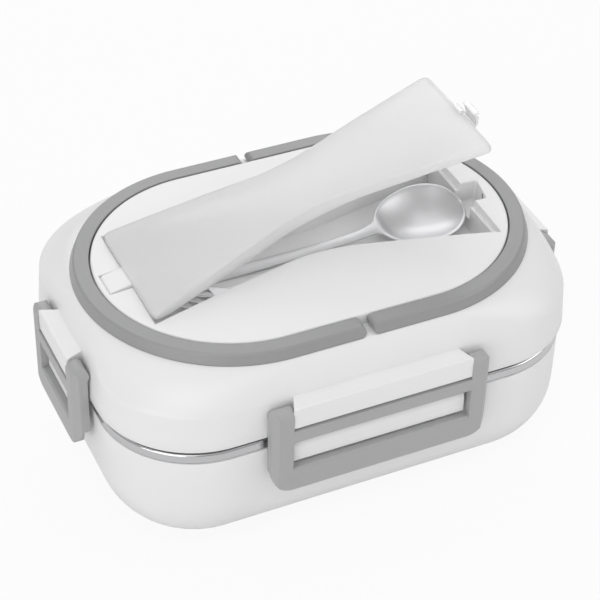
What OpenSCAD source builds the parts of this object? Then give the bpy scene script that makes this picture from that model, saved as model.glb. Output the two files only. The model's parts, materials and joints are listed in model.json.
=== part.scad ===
// Electric lunch box: a heated tub with a steel food container, a lift-off lid held by four
// swinging latches, a two-piece folding carry ring and a cutlery tray with a hinged cover.
// Millimetres, +Z up, origin at the centre of the underside, long axis along X, front at -Y.

/* [Body] */
// Length of the lid skirt at the seam
body_l = 236; // [220:1:255]
// Width of the lid skirt at the seam
body_w = 167; // [160:1:180]
// Corner radius of the lid skirt at the seam
corner_r = 47.7; // [44:0.1:50]
// How far the tub wall stands back from the lid skirt
base_inset = 1.5; // [1:0.1:2.5]
// Height of the tub rim above the table
base_top = 61.8; // [58:0.1:66]
// Radius of the tub's bottom edge
bottom_round = 34; // [30:0.5:36]
// Wall of the outer tub
base_wall = 2.5; // [2:0.1:3]
// Gap between the tub's underside and the table
foot_stand = 1; // [0.5:0.1:2]

/* [Inner tub and container] */
// Running gap between the tub and the inner tub
liner_gap = 0.4; // [0.3:0.1:0.8]
// Wall of the inner tub
liner_wall = 1.6; // [1.2:0.1:2]
// Height of the inner tub's floor, top face
liner_floor = 17.6; // [16.5:0.1:19]
// Height of the ring that carries the steel rim above the tub rim
liner_ring = 4.2; // [3.5:0.1:5]
// Gap between the inner tub and the steel container
steel_gap = 0.5; // [0.4:0.1:1]
// Sheet of the steel container
steel = 0.8; // [0.6:0.1:1.2]
// Height of the visible steel rim band
steel_band = 4.8; // [4:0.1:6]

/* [Lid] */
// Gap between the steel rim and the lid skirt
seam_gap = 3; // [2.5:0.1:4]
// Height of the lid skirt up to its crease
skirt_h = 18.4; // [14:0.1:20]
// How far the skirt leans in up to its crease
skirt_lean = 1.3; // [0.5:0.1:2]
// Height of the carry ring's seat above the seam
seat_h = 34; // [32:0.5:38]
// Wall of the lid
lid_wall = 2.4; // [2:0.1:3]
// Crown of the lid's top above the carry ring
crown = 4; // [2:0.5:5]
// Thickness of the top panel
panel_t = 2.2; // [1.8:0.1:3]

/* [Carry ring] */
// Distance from the lid's ends to the opening inside the carry ring
ring_set_l = 15.5; // [14.5:0.1:18]
// Distance from the lid's long sides to the opening inside the carry ring
ring_set_w = 18.2; // [17:0.1:19.5]
// Width of the ring's top face
ring_top = 7; // [6:0.1:8]
// How far the ring flares out below its top face
ring_flare = 2.1; // [1:0.1:2.5]
// Height of the ring above its seat
ring_h = 5.4; // [5:0.1:6.5]
// Gap between the two halves of the ring
ring_gap = 4; // [3:0.1:6]
// Gap between the ring and the top panel
ring_slack = 0.7; // [0.5:0.1:1]
// Radius of the ring's hinge pins
ring_pin_r = 1.3; // [1:0.1:1.6]

/* [Latches] */
// How far the latches stand out from the lid skirt
latch_reach = 7.8; // [7.4:0.1:9]
// Half length between the arms of the long latches
long_half = 44.7; // [38:0.1:50]
// Half length between the arms of the short latches
short_half = 19.2; // [17:0.1:22]
// Width of a latch arm
arm_w = 9.8; // [9:0.1:12]
// Thickness of the latch plate
latch_t = 4.1; // [3.5:0.1:4.5]
// Height of the latch hinge above the seam
hinge_h = 14; // [13:0.1:15]
// Radius of the latch hinge pins
latch_pin_r = 1.5; // [1.2:0.1:1.8]
// Height of the upper bar of a latch
bar_h = 6.5; // [5:0.1:8]
// Height of the window in a latch
window_h = 16.2; // [15:0.1:18]
// Height of the lower bar of a latch
hook_h = 12.6; // [10:0.1:14]
// How far the tub's catch overlaps the lower bar
hook_bite = 0.8; // [0.6:0.05:0.9]
// Gap between the catch and the lower bar
hook_gap = 1.2; // [1:0.1:1.5]

/* [Cutlery tray and cover] */
// Land between the clip pocket and the end of the top panel
tray_land = 4.6; // [4:0.1:8]
// Half width of the recess at its ends
tray_end = 34.8; // [32:0.1:36]
// Half width of the recess at its waist
tray_waist = 19.4; // [17:0.1:22]
// Radius of the waist
waist_r = 94; // [60:1:150]
// Depth of the tray below the ring's top face
tray_depth = 15.5; // [15:0.5:17]
// Wall of the tray
tray_wall = 1.8; // [1.5:0.1:2.5]
// Depth of the ledge that carries the cover
ledge_depth = 3; // [2.5:0.1:4]
// Width of the ledge at both ends
ledge_w = 2.1; // [1.5:0.1:3]
// Gap around the cover
cover_gap = 1.2; // [0.8:0.1:1.5]
// Sheet of the cover
cover_t = 1.6; // [1.2:0.1:2]
// Depth of the cover's lips below the ring's top face
cover_lip = 3.9; // [3.4:0.1:5]
// Angle at which the cover stands open
cover_open = 15.5; // [0:0.5:15.5]
// Distance of the cover hinge from the recess
hinge_set = 9.3; // [8.5:0.1:9.5]
// Radius of the clip pocket
pocket_r = 9.5; // [8:0.1:10]

/* [Cutlery] */
// Half length of the spoon's bowl
bowl_l = 21.4; // [18:0.1:22]
// Half width of the spoon's bowl
bowl_w = 15.8; // [13:0.1:17]
// Depth of the spoon's bowl
bowl_depth = 9.8; // [7:0.1:9.8]
// Thickness of the cutlery
cutlery_t = 1.4; // [1:0.1:1.4]
// Pitch of the fork's tines
tine_pitch = 6.2; // [5:0.1:6.3]

/* [Hidden] */

eps = 0.01;
fit = 0.06;
$fn = 96;

cx = body_l / 2 - corner_r;
cy = body_w / 2 - corner_r;

// Tub: distances r are measured outwards from the corner centres
base_r = corner_r - base_inset;
base_in_r = base_r - base_wall;
in_round = bottom_round - base_wall;
floor_top = foot_stand + base_wall;
liner_r = base_in_r - liner_gap;
liner_bottom = liner_floor - liner_wall;
// The inner tub's edge radius is the one that just clears the rounding inside the outer tub
clear_r = in_round - liner_gap / 2;
round_a = in_round - liner_gap;
round_b = foot_stand + bottom_round - liner_bottom;
liner_round = round_a + round_b - clear_r - sqrt(liner_gap * (clear_r - round_b));
liner_in_r = liner_r - liner_wall;
can_r = liner_in_r - steel_gap;
can_round = liner_round - liner_wall - steel_gap;
plate_top = liner_floor + 1.4;
can_bottom = plate_top + 0.2;
rim_top = base_top + steel_band + 0.4;
rim_r = base_r - 0.2;

// Heater group
plate_l = 130;
plate_w = 80;
plate_r = 12;
plate_lip = 5;
plate_slack = 0.3;
ptc_l = 60;
ptc_w = 34;
ptc_t = 4;
plate_bottom = liner_bottom - 2.4;
screw_x = plate_l / 2 + plate_lip + 6;
screw_y = 30;
foot_x = 56;
foot_y = 38;
foot_r = 6;
foot_in = 1;
boss_r = 4.2;
screw_r = 1.25;
head_r = 2.8;
head_h = 1.7;
head_sink = 2;
boss_drop = 5;
pad_t = 1.5;
ptc_tab_y = 12;
clamp_t = 1.2;
clamp_w = 16;
clamp_foot = 19;
clamp_x = ptc_l / 2 + 9;
thermostat_y = plate_w / 2 - 8;
thermostat_r = 8;
thermostat_h = 5;
fuse_y = -plate_w / 2 + 14;
fuse_r = 2.5;
fuse_l = 22;
wire_r = 1;

// Inlet low on the back of the tub, under the inner tub's floor
inlet_w = 18;
inlet_h = 8;
inlet_rim = 1.2;
inlet_depth = 13;
inlet_z = liner_bottom - inlet_h / 2 - inlet_rim - 0.4;
inlet_rise = foot_stand + bottom_round - inlet_z;
inlet_y = cy + base_r - bottom_round + sqrt(bottom_round * bottom_round - inlet_rise * inlet_rise) + 2;
pin_x = 4.3;
pin_r = 1.15;

// Lid heights
seam_z = rim_top + seam_gap;
crease_z = seam_z + skirt_h;
seat_z = seam_z + seat_h;
ring_z = seat_z + ring_h;
end_l = body_l / 2 - ring_set_l - (body_w / 2 - ring_set_w);
ring_in_r = body_w / 2 - ring_set_w;
seat_r = ring_in_r + ring_top + ring_flare;
panel_r = ring_in_r - ring_slack;
shoulder_bow = 1.37;
loft_n = 18;
lid_boss_x = 80;
lid_boss_y = 50;
lid_boss_r = 4;
lid_plate_z = seam_z + 1.6;
lid_plate_t = 2;
gasket_in = 5.6;
gasket_out = 1.6;

// Carry ring hinge
ring_lift = 0.2;
ring_end_r = (ring_h - ring_lift) / 2;
ring_pivot_x = ring_gap / 2 + ring_end_r;
ring_pivot_z = ring_z - ring_end_r;
ring_pin_l = 2.6;

// Latch heights
hinge_z = seam_z + hinge_h;
bar_z = seam_z;
window_z = bar_z - window_h;
latch_z = window_z - hook_h;
knuckle_r = 4;
hinge_in = latch_reach - knuckle_r;
lug_slack = 0.6;
lug_top = hinge_z + 4.2;
lug_rise = 0.8;
lug_bottom = bar_z + bar_h + 1;
lug_face = latch_reach - 0.6;
pin_l = 4;
catch_bottom = window_z + hook_gap;
catch_top = seam_z - 1.6;
catch_face = latch_reach + base_inset - latch_t + hook_bite;
catch_half_slack = 1.4;
arm_bevel = 3;
arm_top_r = 5;
latch_low_r = 10;

// Tray and cover
tray_half = end_l + panel_r - tray_land - pocket_r;
hinge_x = tray_half + hinge_set;
tray_z = ring_z - tray_depth;
ledge_z = ring_z - ledge_depth;
pivot_z = ring_z - 1.6;
pocket_depth = 10;
lip_in = 1.2;
cover_corner_r = 4;
hinge_pin_r = 1.2;
hinge_eye_r = 2;
tab_w = 14;
tab_slack = 0.5;
clip_w = 11;
clip_t = 1.2;
clip_bend = 2.4;
clip_drop = 7;

// Cutlery
spoon_at = [tray_half - 21.7, -1.1, ring_z - 4];
spoon_turn = -1.5;
spoon_roll = 6;
spoon_tail = 2 * tray_half - 42.4;
fork_at = [-tray_half + 39.7, -13.7, tray_z];
fork_len = 2 * tray_half - 55.4;

// ---- Shared outlines ----

// Outline of the body at a distance r from the corner centres
module body_outline(r) {
  square([2 * cx + 2 * r, 2 * cy], center = true);
  square([2 * cx, 2 * cy + 2 * r], center = true);
  for (sx = [-1, 1], sy = [-1, 1]) {
    translate([sx * cx, sy * cy]) intersection() {
      circle(r);
      translate([sx * r / 2, sy * r / 2]) square(r, center = true);
    }
  }
}

module body_slab(r, z0, z1) {
  translate([0, 0, z0]) linear_extrude(z1 - z0) body_outline(r);
}

module body_ring(r0, r1, z0, z1) {
  translate([0, 0, z0]) linear_extrude(z1 - z0) difference() {
    body_outline(r1);
    body_outline(r0);
  }
}

// Half section of a tub with a round bottom edge
module tub_section(r, h, round) {
  translate([0, round]) square([r, h - round]);
  square([r - round, round]);
  translate([r - round, round]) intersection() {
    circle(round);
    translate([0, -round]) square(round);
  }
}

// Solid tub: flat sides, quarter-turn corners and a middle block share their flat faces
module tub(r, z0, z1, round) {
  h = z1 - z0;
  translate([-cx, -cy, z0]) cube([2 * cx, 2 * cy, h]);
  for (s = [-1, 1]) {
    translate([-s * cx, s * cy, z0]) rotate([90, 0, s * 90]) {
      linear_extrude(2 * cx) tub_section(r, h, round);
    }
    translate([s * cx, s * cy, z0]) rotate([90, 0, s * 90 - 90]) {
      linear_extrude(2 * cy) tub_section(r, h, round);
    }
  }
  for (q = [0:3]) {
    sx = (q == 0 || q == 3) ? 1 : -1;
    sy = q < 2 ? 1 : -1;
    translate([sx * cx, sy * cy, z0]) rotate([0, 0, q * 90]) {
      rotate_extrude(angle = 90) tub_section(r, h, round);
    }
  }
}

// Stadium with straight sides and half-round ends
module stadium(half, r) {
  square([2 * half, 2 * r], center = true);
  for (s = [-1, 1]) {
    translate([s * half, 0]) intersection() {
      circle(r);
      translate([s * r / 2, 0]) square([r, 2 * r], center = true);
    }
  }
}

// Rounded rectangle for small parts
module soft_rect(l, w, r) {
  square([l - 2 * r, w], center = true);
  square([l, w - 2 * r], center = true);
  for (sx = [-1, 1], sy = [-1, 1]) {
    translate([sx * (l / 2 - r), sy * (w / 2 - r)]) intersection() {
      circle(r);
      translate([sx * r / 2, sy * r / 2]) square(r, center = true);
    }
  }
}

// Waisted outline of the cutlery recess, drawn in by a margin
function waist_angle(w_end, w_mid, half, r, lo = 0, hi = 60, n = 24) =
  let (a = (lo + hi) / 2, w = w_mid + r - r / cos(a) + tan(a) * half)
  n == 0 ? a : w < w_end ? waist_angle(w_end, w_mid, half, r, a, hi, n - 1)
                         : waist_angle(w_end, w_mid, half, r, lo, a, n - 1);

function waist_side(half, w_end, w_mid, r) =
  let (a = waist_angle(w_end, w_mid, half, r), steps = 8)
  concat(
    [[-half, w_end]],
    [for (i = [-steps:steps]) [r * sin(a * i / steps), w_mid + r - r * cos(a * i / steps)]],
    [[half, w_end]]
  );

module waisted(margin) {
  side = waist_side(tray_half - margin, tray_end - margin, tray_waist - margin, waist_r);
  polygon(concat(side, [for (i = [len(side) - 1:-1:0]) [side[i][0], -side[i][1]]]));
}

// ---- Lid loft ----

function quarter(a, b, r, n) = [for (i = [0:n]) [a - r + r * cos(90 * i / n), b - r + r * sin(90 * i / n)]];
function loop_points(a, b, r, n) =
  let (q = quarter(a, b, r, n))
  concat(
    q,
    [for (i = [n:-1:0]) [-q[i][0], q[i][1]]],
    [for (i = [0:n]) [-q[i][0], -q[i][1]]],
    [for (i = [n:-1:0]) [q[i][0], -q[i][1]]]
  );
function lift(points, z) = [for (p = points) [p[0], p[1], z]];

// Closed skin through a stack of loops with equal counts
module skin(loops) {
  m = len(loops[0]);
  k = len(loops);
  points = [for (l = loops) for (p = l) p];
  sides = [for (j = [0:k - 2]) for (i = [0:m - 1])
    [j * m + i, (j + 1) * m + i, (j + 1) * m + (i + 1) % m, j * m + (i + 1) % m]];
  bottom = [for (i = [0:m - 1]) i];
  top = [for (i = [m - 1:-1:0]) (k - 1) * m + i];
  polyhedron(points, concat([bottom], sides, [top]));
}

// Rounded rectangle that the lid has at height share t of its shoulder, 0 at the crease
function shoulder_loop(t, drop) =
  let (
    w = 1 - pow(cos(90 * t), 2 / shoulder_bow),
    v = pow(sin(90 * t), 2 / shoulder_bow),
    a0 = body_l / 2 - skirt_lean,
    b0 = body_w / 2 - skirt_lean,
    r0 = corner_r - skirt_lean,
    a = a0 + (end_l + seat_r - a0) * w - drop,
    b = b0 + (seat_r - b0) * w - drop,
    r = r0 + (seat_r - r0) * w - drop
  )
  lift(loop_points(a, b, min(r, b - 0.05), loft_n), crease_z + (seat_z - crease_z) * v - drop);

module lid_form(drop) {
  levels = [0, 0.1, 0.2, 0.32, 0.44, 0.56, 0.68, 0.8, 0.9, 1];
  skirt = lift(
    loop_points(body_l / 2 - drop, body_w / 2 - drop, corner_r - drop, loft_n),
    seam_z - (drop > 0 ? 1 : 0)
  );
  skin(concat([skirt], [for (t = levels) shoulder_loop(t, drop)]));
}

// Block with a crowned top that reaches the ring's top face all round, lowered by a depth
module crown_form(inset, drop, low) {
  shares = [1, 0.84, 0.67, 0.5, 0.33, 0.16];
  a = end_l + panel_r - inset;
  b = panel_r - inset;
  loops = [for (k = shares) lift(
    loop_points(a * k, b * k, b * k - 0.01, loft_n),
    ring_z - drop + crown * (1 - k * k)
  )];
  skin(concat([lift(loop_points(a, b, b - 0.01, loft_n), low)], loops));
}

// ---- Tub parts ----

// Places a child drawn for the front at each of the four sides: depth is measured from the skirt
module at_side(side) {
  turn = side == "front" ? 0 : side == "right" ? 90 : side == "back" ? 180 : 270;
  out = (side == "front" || side == "back") ? body_w / 2 : body_l / 2;
  rotate([0, 0, turn]) translate([0, -out, 0]) children();
}

function side_half(side) = (side == "front" || side == "back") ? long_half : short_half;

// Catch on the tub that a latch hooks under: round-topped bar with a flat face
module catch_bar(half) {
  face = catch_face - base_inset;
  root = base_inset + base_wall / 2;
  back = base_inset - 0.1;
  top_r = min(face + back - 0.3, 5.4);
  lead = 0.35;
  rotate([90, 0, 90]) translate([0, 0, -half + catch_half_slack]) {
    linear_extrude(2 * (half - catch_half_slack)) {
      polygon([
        [root, catch_bottom], [-face + lead, catch_bottom], [-face, catch_bottom + lead],
        [-face, catch_top - top_r], [-face + top_r, catch_top - top_r], [-face + top_r, catch_top],
        [back, catch_top], [back, base_top - 1], [root, base_top - 1]
      ]);
      translate([-face + top_r, catch_top - top_r]) intersection() {
        circle(top_r);
        translate([-top_r, 0]) square(top_r);
      }
    }
  }
}

module base_shell() {
  color("white") difference() {
    union() {
      difference() {
        tub(base_r, foot_stand, base_top, bottom_round);
        tub(base_in_r, floor_top, base_top + 1, in_round);
      }
      for (side = ["front", "right", "back", "left"]) at_side(side) catch_bar(side_half(side));
      for (sx = [-1, 1], sy = [-1, 1]) {
        translate([sx * screw_x, sy * screw_y, floor_top - eps]) {
          cylinder(r = boss_r, h = liner_bottom - boss_drop - floor_top + eps);
        }
      }
      inlet_boss();
    }
    for (sx = [-1, 1], sy = [-1, 1]) {
      translate([sx * screw_x, sy * screw_y, 0]) {
        cylinder(r = head_r + 0.4, h = floor_top + head_sink);
        cylinder(r = screw_r + fit, h = liner_bottom + 1);
      }
      translate([sx * foot_x, sy * foot_y, foot_stand - eps]) cylinder(r = foot_r + fit, h = foot_in + eps);
    }
    translate([0, inlet_y + 1, inlet_z]) rotate([90, 0, 0]) {
      linear_extrude(inlet_depth + 6) soft_rect(inlet_w, inlet_h, 2.5);
    }
    translate([0, inlet_y + 20, inlet_z]) rotate([90, 0, 0]) {
      linear_extrude(20) soft_rect(inlet_w + 2 * inlet_rim, inlet_h + 2 * inlet_rim, 3.5);
    }
  }
}

// Flat-faced collar that frames the inlet on the round back edge
module inlet_boss() {
  translate([0, inlet_y, inlet_z]) rotate([90, 0, 0]) {
    linear_extrude(inlet_depth) soft_rect(inlet_w + 2 * inlet_rim, inlet_h + 2 * inlet_rim, 3.5);
  }
}

module feet() {
  color("dimgray") for (sx = [-1, 1], sy = [-1, 1]) {
    translate([sx * foot_x, sy * foot_y, 0]) rotate_extrude() {
      polygon([
        [0, 0], [foot_r - 0.6, 0], [foot_r, 0.5], [foot_r, foot_stand + foot_in], [0, foot_stand + foot_in]
      ]);
    }
  }
}

module screw(length) {
  rotate_extrude() polygon([
    [0, 0], [head_r - 0.6, 0], [head_r, 0.6], [head_r, head_h], [screw_r, head_h],
    [screw_r, head_h + length], [0, head_h + length]
  ]);
}

module base_screws() {
  color("silver") for (sx = [-1, 1], sy = [-1, 1]) {
    translate([sx * screw_x, sy * screw_y, floor_top + head_sink - head_h]) {
      screw(liner_bottom - floor_top - head_sink - 0.8);
    }
  }
}

module base_liner() {
  color("gainsboro") difference() {
    union() {
      tub(liner_r, liner_bottom, base_top + eps, liner_round);
      body_slab(rim_r - 1.4, base_top, base_top + liner_ring);
      for (sx = [-1, 1], sy = [-1, 1]) {
        translate([sx * screw_x, sy * screw_y, liner_bottom - boss_drop]) {
          cylinder(r = boss_r, h = boss_drop + liner_wall / 2);
        }
      }
    }
    tub(liner_in_r, liner_floor, base_top + liner_ring + 1, liner_round - liner_wall);
    translate([0, 0, liner_bottom - 1]) linear_extrude(liner_wall + 2) {
      soft_rect(plate_l + 2 * plate_slack, plate_w + 2 * plate_slack, plate_r + plate_slack);
    }
    for (sx = [-1, 1], sy = [-1, 1]) {
      translate([sx * screw_x, sy * screw_y, liner_bottom - boss_drop - 1]) {
        cylinder(r = screw_r + fit, h = boss_drop + 0.6);
      }
    }
  }
}

module heating_plate() {
  color("silver") {
    translate([0, 0, liner_bottom - eps]) linear_extrude(plate_top - liner_bottom + eps) {
      soft_rect(plate_l, plate_w, plate_r);
    }
    translate([0, 0, plate_bottom]) linear_extrude(liner_bottom - plate_bottom) {
      soft_rect(plate_l + 2 * plate_lip, plate_w + 2 * plate_lip, plate_r + plate_lip);
    }
  }
}

module ptc_heater() {
  color("goldenrod") translate([0, 0, plate_bottom - ptc_t]) {
    linear_extrude(ptc_t) soft_rect(ptc_l, ptc_w, 2);
    for (s = [-1, 1]) translate([s * (ptc_l / 2 + 2) - 2.5, s * ptc_tab_y - 1.5, 1.6]) cube([5, 3, 0.8]);
  }
}

// Bent strap that presses the heater against the plate
module heater_clamp() {
  low = plate_bottom - ptc_t - clamp_t;
  color("slategray") difference() {
    union() {
      translate([-ptc_l / 2 - clamp_t - 1, -clamp_w / 2, low]) {
        cube([ptc_l + 2 * clamp_t + 2, clamp_w, clamp_t]);
      }
      for (s = [-1, 1]) {
        translate([s * (ptc_l / 2 + 1 + clamp_t / 2) - clamp_t / 2, -clamp_w / 2, low]) {
          cube([clamp_t, clamp_w, ptc_t + clamp_t]);
        }
        translate([s * (clamp_x + 1) - clamp_foot / 2, -clamp_w / 2, plate_bottom - clamp_t]) {
          cube([clamp_foot, clamp_w, clamp_t]);
        }
      }
    }
    for (s = [-1, 1]) {
      translate([s * clamp_x, 0, low - 1]) cylinder(r = screw_r + fit, h = ptc_t + 4);
    }
  }
}

module clamp_screws() {
  color("silver") for (s = [-1, 1]) {
    translate([s * clamp_x, 0, plate_bottom - clamp_t]) mirror([0, 0, 1]) {
      rotate_extrude() polygon([
        [0, 0], [head_r, 0], [head_r, head_h - 0.6], [head_r - 0.6, head_h], [0, head_h]
      ]);
      translate([0, 0, -clamp_t]) cylinder(r = screw_r, h = clamp_t + eps);
    }
  }
}

// Disc thermostat beside the heater, under the plate
module thermostat() {
  color("darkgray") translate([0, thermostat_y, plate_bottom - thermostat_h]) {
    cylinder(r = thermostat_r, h = thermostat_h);
    for (s = [-1, 1]) translate([s * (thermostat_r + 1.5) - 3, -1.5, 0.6]) cube([6, 3, 0.8]);
  }
}

module thermal_fuse() {
  color("white") translate([0, fuse_y, plate_bottom - fuse_r]) rotate([0, 90, 0]) {
    cylinder(r = fuse_r, h = fuse_l, center = true);
    cylinder(r = 0.6, h = fuse_l + 18, center = true);
  }
}

// Path with its corners rounded off
function bend_path(p, r = 4) = concat(
  [p[0]],
  [for (i = [1:len(p) - 2]) let (
    u = p[i - 1] - p[i], v = p[i + 1] - p[i],
    a = p[i] + u * min(r / norm(u), 0.45), b = p[i] + v * min(r / norm(v), 0.45)
  ) each [a, (a + 2 * p[i] + b) / 4, b]],
  [p[len(p) - 1]]
);

function unit(v) = v / norm(v);

// Round sleeve swept along a path
module wire(points) {
  p = bend_path(points);
  n = len(p) - 1;
  skin([for (i = [0:n]) let (
    d = unit(p[min(i + 1, n)] - p[max(i - 1, 0)]),
    u = unit(cross(d, [0.62, 0.21, 0.75])),
    v = cross(d, u)
  ) [for (k = [0:7]) p[i] + wire_r * (cos(45 * k) * u + sin(45 * k) * v)]]);
}

module lead_wires() {
  z = floor_top + 3;
  back = inlet_y - inlet_depth - 1.7;
  tab_z = plate_bottom - thermostat_h + 1;
  tab_x = thermostat_r + 4.7;
  fuse_z = plate_bottom - fuse_r;
  fuse_x = fuse_l / 2 + 9.1;
  ptc_z = plate_bottom - ptc_t + 2;
  ptc_x = ptc_l / 2 + 4.7;
  side_x = clamp_x + 7;
  color("firebrick") {
    wire([
      [-pin_x, back, inlet_z], [-pin_x, back - 8, inlet_z], [-18, back - 14, z],
      [-tab_x - 7, thermostat_y, tab_z], [-tab_x, thermostat_y, tab_z]
    ]);
    wire([
      [pin_x, back, inlet_z], [pin_x, back - 8, inlet_z], [side_x - 2, thermostat_y + 6, z],
      [side_x, ptc_tab_y, z], [side_x - 1, ptc_tab_y, ptc_z], [ptc_x, ptc_tab_y, ptc_z]
    ]);
    wire([
      [tab_x, thermostat_y, tab_z], [tab_x + 7, thermostat_y, tab_z], [27, 20, z],
      [27, fuse_y + 4, z], [fuse_x + 6, fuse_y, fuse_z], [fuse_x, fuse_y, fuse_z]
    ]);
    wire([
      [-fuse_x, fuse_y, fuse_z], [-fuse_x - 6, fuse_y, fuse_z], [-side_x + 4, fuse_y + 6, z + 4],
      [-side_x + 4, -ptc_tab_y, ptc_z - 1], [-ptc_x, -ptc_tab_y, ptc_z - 1]
    ]);
  }
}

// Moulded inlet: a flanged cup open to the back
module inlet_socket() {
  color("black") difference() {
    translate([0, inlet_y + 0.4, inlet_z]) rotate([90, 0, 0]) {
      linear_extrude(inlet_depth) soft_rect(inlet_w - 0.4, inlet_h - 0.4, 2.3);
    }
    translate([0, inlet_y + 1, inlet_z]) rotate([90, 0, 0]) {
      linear_extrude(inlet_depth - 2.4) soft_rect(inlet_w - 2.8, inlet_h - 2.4, 1.4);
    }
    for (s = [-1, 1]) {
      translate([s * pin_x, inlet_y - inlet_depth - 1, inlet_z]) rotate([-90, 0, 0]) {
        cylinder(r = pin_r + fit, h = 6);
      }
    }
  }
}

module inlet_pins() {
  color("silver") for (s = [-1, 1]) {
    translate([s * pin_x, inlet_y - inlet_depth - 1.6, inlet_z]) rotate([-90, 0, 0]) {
      cylinder(r = pin_r, h = inlet_depth - 2.4);
      translate([0, 0, inlet_depth - 2.4]) cylinder(r1 = pin_r, r2 = pin_r - 0.5, h = 0.8);
    }
  }
}

// Heat shield sheet that lies on the tub floor
module insulation_pad() {
  color("lightyellow") translate([0, 0, floor_top]) linear_extrude(pad_t) {
    soft_rect(plate_l - 12, plate_w - 10, plate_r / 2);
  }
}

// Steel food container with a flat rim and a turned-down edge
module container() {
  color("lightsteelblue") difference() {
    union() {
      tub(can_r, can_bottom, rim_top, can_round);
      body_slab(rim_r, rim_top - steel, rim_top);
      body_ring(rim_r - steel, rim_r, rim_top - steel_band, rim_top);
    }
    tub(can_r - steel, can_bottom + steel, rim_top + 1, can_round - steel);
  }
}

// ---- Lid parts ----

// Block on the lid between the arms of one latch, drilled for the pins
module latch_lug(half) {
  half_l = half - lug_slack;
  back = lid_wall;
  top_r = 1.6;
  difference() {
    rotate([90, 0, 90]) translate([0, 0, -half_l]) linear_extrude(2 * half_l) {
      polygon([
        [-lug_face, lug_bottom], [-lug_face, lug_top - top_r], [-lug_face + top_r, lug_top],
        [skirt_lean, lug_top + lug_rise], [back + 0.5, lug_top + lug_rise], [back, lug_bottom]
      ]);
      translate([-lug_face + top_r, lug_top - top_r]) intersection() {
        circle(top_r);
        translate([-top_r, 0]) square(top_r);
      }
    }
    for (s = [-1, 1]) {
      translate([s * (half_l + 1), -hinge_in, hinge_z]) rotate([0, -s * 90, 0]) {
        cylinder(r = latch_pin_r + fit, h = pin_l + 2);
      }
    }
  }
}

module lid_shell() {
  color("white") {
    difference() {
      lid_form(0);
      lid_form(lid_wall);
      translate([0, 0, seam_z - 2]) linear_extrude(2) square([body_l + 2, body_w + 2], center = true);
      translate([0, 0, tray_z]) linear_extrude(tray_depth) {
        waisted(-tray_wall - 0.6);
        translate([tray_half, 0]) circle(pocket_r + tray_wall + 0.5);
      }
    }
    for (side = ["front", "right", "back", "left"]) at_side(side) latch_lug(side_half(side));
    for (sx = [-1, 1], sy = [-1, 1]) {
      translate([sx * lid_boss_x, sy * lid_boss_y, lid_plate_z + lid_plate_t]) difference() {
        cylinder(r = lid_boss_r, h = seat_z - lid_wall - lid_plate_z - lid_plate_t + 1);
        translate([0, 0, -1]) cylinder(r = screw_r + fit, h = 12);
      }
    }
  }
}

// Crowned panel inside the carry ring with the cutlery tray hanging below it
module lid_top_panel() {
  color("white") difference() {
    union() {
      difference() {
        crown_form(0, 0, seat_z);
        difference() {
          crown_form(panel_t, panel_t, seat_z - 1);
          for (sx = [-1, 1], sy = [-1, 1]) {
            translate([sx * ring_pivot_x - 4, sy * (panel_r - 5) - 4, seat_z - 2]) cube([8, 8, 30]);
          }
          translate([-hinge_x - 3.5, -tab_w / 2 - 2, seat_z - 2]) cube([16, tab_w + 4, 30]);
        }
      }
      translate([0, 0, tray_z - tray_wall]) linear_extrude(tray_depth + tray_wall - 1) {
        waisted(-tray_wall);
      }
      translate([tray_half, 0, ring_z - pocket_depth - 2]) {
        cylinder(r = pocket_r + tray_wall, h = pocket_depth + 0.6);
      }
    }
    translate([0, 0, tray_z]) linear_extrude(60) intersection() {
      waisted(0);
      square([2 * (tray_half - ledge_w), 200], center = true);
    }
    translate([0, 0, ledge_z]) linear_extrude(60) waisted(0);
    translate([tray_half, 0, ring_z - pocket_depth]) cylinder(r = pocket_r, h = 40);
    translate([-hinge_x - hinge_eye_r, -tab_w / 2 - tab_slack, pivot_z - hinge_eye_r - 0.1]) {
      cube([hinge_set + hinge_eye_r + 1.7, tab_w + 2 * tab_slack, 30]);
    }
    translate([-hinge_x, -tab_w / 2 - 2.6, pivot_z]) rotate([-90, 0, 0]) {
      cylinder(r = hinge_pin_r + fit, h = tab_w + 5.2);
    }
    for (sx = [-1, 1], sy = [-1, 1]) {
      translate([sx * ring_pivot_x, sy * (panel_r + 1), ring_pivot_z]) rotate([sy * 90, 0, 0]) {
        cylinder(r = ring_pin_r + fit, h = ring_pin_l + 1.2);
      }
    }
  }
}

// Plate that closes the underside of the lid and carries the seal
module lid_inner_plate() {
  plate_out = corner_r - lid_wall - skirt_lean + 0.4;
  color("gainsboro") difference() {
    union() {
      body_slab(plate_out, lid_plate_z, lid_plate_z + lid_plate_t);
      body_ring(can_r - gasket_in, can_r - gasket_in + 1.4, rim_top + 0.8, lid_plate_z);
    }
    for (sx = [-1, 1], sy = [-1, 1]) {
      translate([sx * lid_boss_x, sy * lid_boss_y, lid_plate_z - 1]) {
        cylinder(r = screw_r + fit, h = lid_plate_t + 2);
      }
    }
  }
}

module lid_gasket() {
  color("lightgray") body_ring(can_r - gasket_in + 1.6, rim_r - gasket_out, rim_top + 0.05, lid_plate_z);
}

module lid_screws() {
  color("silver") for (sx = [-1, 1], sy = [-1, 1]) {
    translate([sx * lid_boss_x, sy * lid_boss_y, lid_plate_z - head_h]) screw(lid_plate_t + 9);
  }
}

// ---- Carry ring ----

// Section of the ring, measured outwards from its inner face
module ring_section() {
  polygon([
    [0, 0], [ring_top + ring_flare, 0], [ring_top + 0.5, ring_h - ring_lift - 0.7],
    [ring_top - 0.3, ring_h - ring_lift], [0, ring_h - ring_lift]
  ]);
}

// Side view of the ring's straight bar, with a round end about the hinge
module bar_side() {
  translate([ring_pivot_x, ring_pivot_z]) circle(ring_end_r);
  translate([ring_pivot_x, ring_pivot_z - ring_end_r]) square([end_l - ring_pivot_x, 2 * ring_end_r]);
}

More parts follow.
